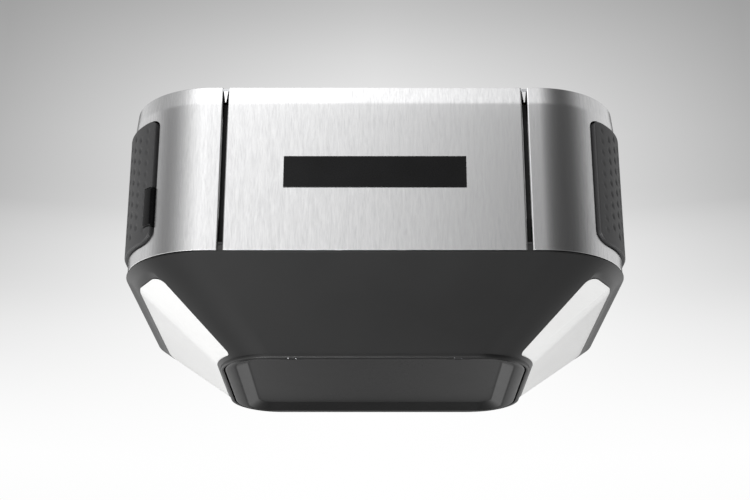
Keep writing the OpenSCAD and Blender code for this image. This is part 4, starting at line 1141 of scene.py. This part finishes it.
# ---------------------------------------------------------------- repeats, by Geometry Nodes
def repeated(name, places, shape, slot, body, *stands_for, turn=0.0, seed=7):
    """A shape copied to each place, turned about Z by a seeded share of the turn."""
    source = placed(name + "_shape", mesh_of(name + "_shape", shape))
    obj = placed(name, mesh_of(name, (places, [])))
    tree = bpy.data.node_groups.new(name, "GeometryNodeTree")
    face = tree.interface
    face.new_socket("Places", in_out="INPUT", socket_type="NodeSocketGeometry")
    shape_in = face.new_socket("Shape", in_out="INPUT", socket_type="NodeSocketObject")
    turn_in = face.new_socket("Turn", in_out="INPUT", socket_type="NodeSocketFloat")
    seed_in = face.new_socket("Seed", in_out="INPUT", socket_type="NodeSocketInt")
    finish_in = face.new_socket("Finish", in_out="INPUT", socket_type="NodeSocketMaterial")
    face.new_socket("Pieces", in_out="OUTPUT", socket_type="NodeSocketGeometry")
    new, link = tree.nodes.new, tree.links.new
    given, result = new("NodeGroupInput"), new("NodeGroupOutput")
    info, copies = new("GeometryNodeObjectInfo"), new("GeometryNodeInstanceOnPoints")
    link(given.outputs["Shape"], info.inputs["Object"])
    link(given.outputs["Places"], copies.inputs["Points"])
    link(info.outputs["Geometry"], copies.inputs["Instance"])
    chance, angle = new("FunctionNodeRandomValue"), new("ShaderNodeCombineXYZ")
    chance.data_type = "FLOAT"
    chance.inputs["Min"].default_value = 0.0
    link(given.outputs["Turn"], chance.inputs["Max"])
    link(given.outputs["Seed"], chance.inputs["Seed"])
    link(chance.outputs["Value"], angle.inputs["Z"])
    link(angle.outputs["Vector"], copies.inputs["Rotation"])
    whole, dressed = new("GeometryNodeRealizeInstances"), new("GeometryNodeSetMaterial")
    link(copies.outputs["Instances"], whole.inputs["Geometry"])
    link(whole.outputs["Geometry"], dressed.inputs["Geometry"])
    link(given.outputs["Finish"], dressed.inputs["Material"])
    link(dressed.outputs["Geometry"], result.inputs["Pieces"])
    maker = obj.modifiers.new("repeat", "NODES")
    maker.node_group = tree
    for socket, value in ((shape_in, source), (turn_in, turn), (seed_in, seed),
                          (finish_in, FINISHES[slot])):
        maker[socket.identifier] = value
    flatten(obj)
    bpy.data.objects.remove(source)
    finished(obj, slot, body, *stands_for)


def screw_shape(sides=48):
    """A pan head screw, point down, with a six-lobed socket sunk in its crown."""
    profile = [(SCREW_SHANK_R - 0.4, -SCREW_LENGTH), (SCREW_SHANK_R, 0.5 - SCREW_LENGTH),
               (SCREW_SHANK_R, SCREW_SEAT_Z), (SCREW_HEAD_R - 0.15, SCREW_SEAT_Z),
               (SCREW_HEAD_R, 0.2)]
    for degrees in (0, 20, 40, 60, 80):
        a = math.radians(degrees)
        profile.append((SCREW_HEAD_R - 1.4 * (1 - math.cos(a)), 0.5 + 1.5 * math.sin(a)))
    socket = [(1.55, SCREW_HEAD_H - 0.05), (1.5, SCREW_HEAD_H - 1.2), (0.05, SCREW_HEAD_H - 1.3)]
    profile += [(1.9, SCREW_HEAD_H)] + socket
    rings = []
    for r, z in profile:
        ring = []
        for k in range(sides):
            a = 2 * math.pi * k / sides
            lobe = 1 + SCREW_LOBE * math.cos(6 * a) if (r, z) in socket else 1.0
            ring.append((r * lobe * math.cos(a), r * lobe * math.sin(a), z))
        rings.append(ring)
    return ringed(rings)


repeated("panel_pan_screws", [(x, y, 0.0) for x, y in SCREW_SPOTS], screw_shape(),
         "bright_steel", "chassis", "panel_screws", turn=math.radians(60))

# Slanted louvres stand behind the vent slots.
verts, faces = box_shape((-LOUVRE_HALF_W, -LOUVRE_D, -LOUVRE_HALF_T),
                         (LOUVRE_HALF_W, 0.0, LOUVRE_HALF_T))
louvre = ([(x, y, z + LOUVRE_SLANT * y) for x, y, z in verts], faces)
louvre_y = HALF_D - SHEET_T - 0.2
repeated("vent_louvres", [(VENT_X, louvre_y, VENT_Z + LOUVRE_UP + VENT_PITCH * k)
                          for k in range(VENT_COUNT)], louvre, "brushed_panel", "chassis")


# ---------------------------------------------------------------- studio
# Tones of the backdrop by elevation in degrees, at the edges and at the middle of the view: painted
# light and shade on the backdrop.
SKY_EDGE = [(-90.0, 208), (0.5, 209), (9.0, 252), (12.0, 254), (13.6, 250), (15.2, 242),
            (17.0, 231), (18.6, 216), (20.2, 206), (21.0, 199), (21.8, 187), (22.6, 185),
            (24.4, 182), (26.4, 175), (28.4, 166), (30.4, 156), (60.0, 146), (90.0, 140)]
SKY_MIDDLE = [(-90.0, 208), (0.5, 209), (10.0, 255), (17.0, 255), (20.2, 255), (21.0, 250),
              (22.4, 240), (24.8, 240), (26.4, 232), (27.2, 225), (28.4, 215), (29.2, 205),
              (30.4, 193), (60.0, 180), (90.0, 170)]
SKY_HALF_VIEW = 16.3
SKY_FALL = 1.3

# Brightness of the studio by bearing in degrees, where 0 is the front and 90 the right: level
# with the object, above it, and below it on the floor. Then its brightness by elevation.
STUDIO_LEVEL = [(-180.0, 0.7), (-171.0, 0.6), (-164.0, 0.08), (-150.0, 0.08), (-142.0, 0.8),
                (-95.0, 0.8), (-81.0, 0.48), (-70.0, 0.27), (-60.0, 0.24), (-49.0, 0.4),
                (-40.0, 0.66), (-30.0, 0.98), (-20.0, 1.27), (-12.0, 1.42), (-5.0, 1.32),
                (-1.0, 1.0), (3.0, 0.57), (7.0, 0.3), (11.0, 0.15), (20.0, 0.07), (35.0, 0.06),
                (52.0, 0.08), (66.0, 0.25), (86.0, 0.68), (110.0, 0.8), (142.0, 0.8),
                (150.0, 0.08), (164.0, 0.08), (171.0, 0.6), (180.0, 0.7)]
STUDIO_ABOVE = [(-180.0, 0.9), (-110.0, 0.6), (-90.0, 0.46), (-73.0, 0.5), (-57.0, 0.56),
                (-41.0, 0.95), (-25.0, 1.9), (-8.0, 2.1), (0.0, 1.5), (4.0, 1.25), (8.0, 0.95),
                (14.0, 0.58), (28.0, 0.12), (41.0, 0.06), (56.0, 0.18), (73.0, 0.55),
                (90.0, 0.65), (110.0, 0.7), (180.0, 0.9)]
STUDIO_BELOW = [(-180.0, 0.2), (-174.0, 0.3), (-168.0, 0.95), (-150.0, 1.3), (-125.0, 2.1),
                (-90.0, 1.8), (-34.0, 1.6), (0.0, 0.68), (34.0, 0.2), (90.0, 1.0), (125.0, 1.7),
                (150.0, 1.2), (168.0, 0.95), (174.0, 0.3), (180.0, 0.2)]
STUDIO_RISE = [(-90.0, 0.7), (-68.0, 0.66), (-58.0, 0.3), (-42.0, 0.3), (-34.0, 0.8),
               (-26.0, 1.0), (14.0, 0.88), (21.4, 0.94), (25.0, 1.0), (60.0, 1.0), (90.0, 1.1)]
LEVEL_STARTS = [(-4.0, 0.0), (6.0, 1.0)]
ABOVE_STARTS = [(27.5, 0.0), (31.0, 1.0)]
BRIGHTEST = 2.5

FLOOR_Z_M = -1.75
FLOOR_HALF_M = 40.0
CAMERA_AT_M = (0.0, -1.1208, -0.4913)
CAMERA_LOOKS_UP = math.radians(20.41)
CAMERA_LENS = 68.17
FILL_AT_M = (-0.45, -1.3, -1.25)
FILL_TO_M = (0.0, 0.0, -0.15)
FILL_SIZE_M = (1.0, 0.8)
FILL_W = 20.0


def linear(tone):
    """The light of a screen tone, 0 to 255."""
    c = tone / 255
    return c / 12.92 if c <= 0.04045 else ((c + 0.055) / 1.055) ** 2.4


def plain(value):
    return value


def dimmed(value):
    return value / BRIGHTEST


class Sky:
    """The world's shader: a backdrop for the camera, and rings of light for everything else."""

    def __init__(self, world):
        world.use_nodes = True
        world.node_tree.nodes.clear()
        self.new, self.link = world.node_tree.nodes.new, world.node_tree.links.new
        split = self.new("ShaderNodeSeparateXYZ")
        self.link(self.new("ShaderNodeTexCoord").outputs["Generated"], split.inputs[0])
        self.x, self.y, self.z = split.outputs["X"], split.outputs["Y"], split.outputs["Z"]

    def calc(self, operation, a, b=None):
        node = self.new("ShaderNodeMath")
        node.operation = operation
        for socket, value in zip(node.inputs, (a, b)):
            if isinstance(value, (int, float)):
                socket.default_value = value
            elif value is not None:
                self.link(value, socket)
        return node.outputs[0]

    def degrees(self, radians):
        return self.calc("MULTIPLY", radians, 180 / math.pi)

    def ramp(self, angle, stops, limit, convert):
        """Stops by angle in degrees, from minus the limit to the limit."""
        node = self.new("ShaderNodeValToRGB")
        elements = node.color_ramp.elements
        while len(elements) < len(stops):
            elements.new(0.5)
        for element, (place, value) in zip(elements, stops):
            element.position = (place + limit) / (2 * limit)
            element.color = (convert(value),) * 3 + (1.0,)
        self.link(self.calc("DIVIDE", self.calc("SUBTRACT", angle, -limit), 2 * limit),
                  node.inputs["Fac"])
        return node.outputs["Color"]

    def mix(self, a, b, factor=None, blend="MIX"):
        node = self.new("ShaderNodeMix")
        node.data_type = "RGBA"
        node.blend_type = blend
        node.inputs["Factor"].default_value = 1.0
        if factor is not None:
            self.link(factor, node.inputs["Factor"])
        self.link(a, node.inputs["A"])
        self.link(b, node.inputs["B"])
        return node.outputs["Result"]

    def light(self, colour, strength=1.0):
        node = self.new("ShaderNodeBackground")
        node.inputs["Strength"].default_value = strength
        self.link(colour, node.inputs["Color"])
        return node.outputs[0]


def studio():
    world = bpy.data.worlds.new("studio")
    bpy.context.scene.world = world
    sky = Sky(world)
    elevation = sky.degrees(sky.calc("ARCSINE", sky.z))
    bearing = sky.degrees(sky.calc("ARCTAN2", sky.x, sky.calc("MULTIPLY", sky.y, -1.0)))
    # What the camera sees, with painted shade on the backdrop: white below, grey above, darker to
    # both sides of the view.
    behind = sky.calc("ABSOLUTE", sky.degrees(sky.calc("ARCTAN2", sky.x, sky.y)))
    aside = sky.calc("MINIMUM", sky.calc("DIVIDE", behind, SKY_HALF_VIEW), 1.0)
    seen = sky.mix(sky.ramp(elevation, SKY_MIDDLE, 90, linear),
                   sky.ramp(elevation, SKY_EDGE, 90, linear), sky.calc("POWER", aside, SKY_FALL))
    # What lights the object: a key from the front left, dark at the right, brighter overhead.
    lit = sky.mix(sky.ramp(bearing, STUDIO_BELOW, 180, dimmed),
                  sky.ramp(bearing, STUDIO_LEVEL, 180, dimmed),
                  sky.ramp(elevation, LEVEL_STARTS, 90, plain))
    lit = sky.mix(lit, sky.ramp(bearing, STUDIO_ABOVE, 180, dimmed),
                  sky.ramp(elevation, ABOVE_STARTS, 90, plain))
    lit = sky.mix(lit, sky.ramp(elevation, STUDIO_RISE, 90, dimmed), blend="MULTIPLY")
    either = sky.new("ShaderNodeMixShader")
    sky.link(sky.new("ShaderNodeLightPath").outputs["Is Camera Ray"], either.inputs[0])
    sky.link(sky.light(lit, BRIGHTEST ** 2), either.inputs[1])
    sky.link(sky.light(seen), either.inputs[2])
    sky.link(either.outputs[0], sky.new("ShaderNodeOutputWorld").inputs["Surface"])


studio()

floor_mesh = bpy.data.meshes.new("studio_floor")
floor_mesh.from_pydata([(x * FLOOR_HALF_M, y * FLOOR_HALF_M, FLOOR_Z_M)
                        for x, y in ((-1, -1), (1, -1), (1, 1), (-1, 1))], [], [(0, 1, 2, 3)])
floor_mesh.materials.append(Finish("studio_floor", (0.93, 0.93, 0.93), 0.7).material)
floor = placed("studio_floor", floor_mesh)
floor.visible_glossy = False

fill_data = bpy.data.lights.new("low_fill", "AREA")
fill_data.shape = "RECTANGLE"
fill_data.size, fill_data.size_y = FILL_SIZE_M
fill_data.energy = FILL_W
fill = placed("low_fill", fill_data)
fill.location = FILL_AT_M
toward = Vector(FILL_TO_M) - Vector(FILL_AT_M)
fill.rotation_euler = toward.to_track_quat("-Z", "Y").to_euler()

camera_data = bpy.data.cameras.new("camera")
camera_data.lens = CAMERA_LENS
camera_data.sensor_width = 36.0
camera_data.clip_start = 0.05
camera = placed("camera", camera_data)
camera.location = CAMERA_AT_M
camera.rotation_euler = (math.radians(90) + CAMERA_LOOKS_UP, 0.0, 0.0)
bpy.context.scene.camera = camera
bpy.context.scene.view_settings.view_transform = "Standard"
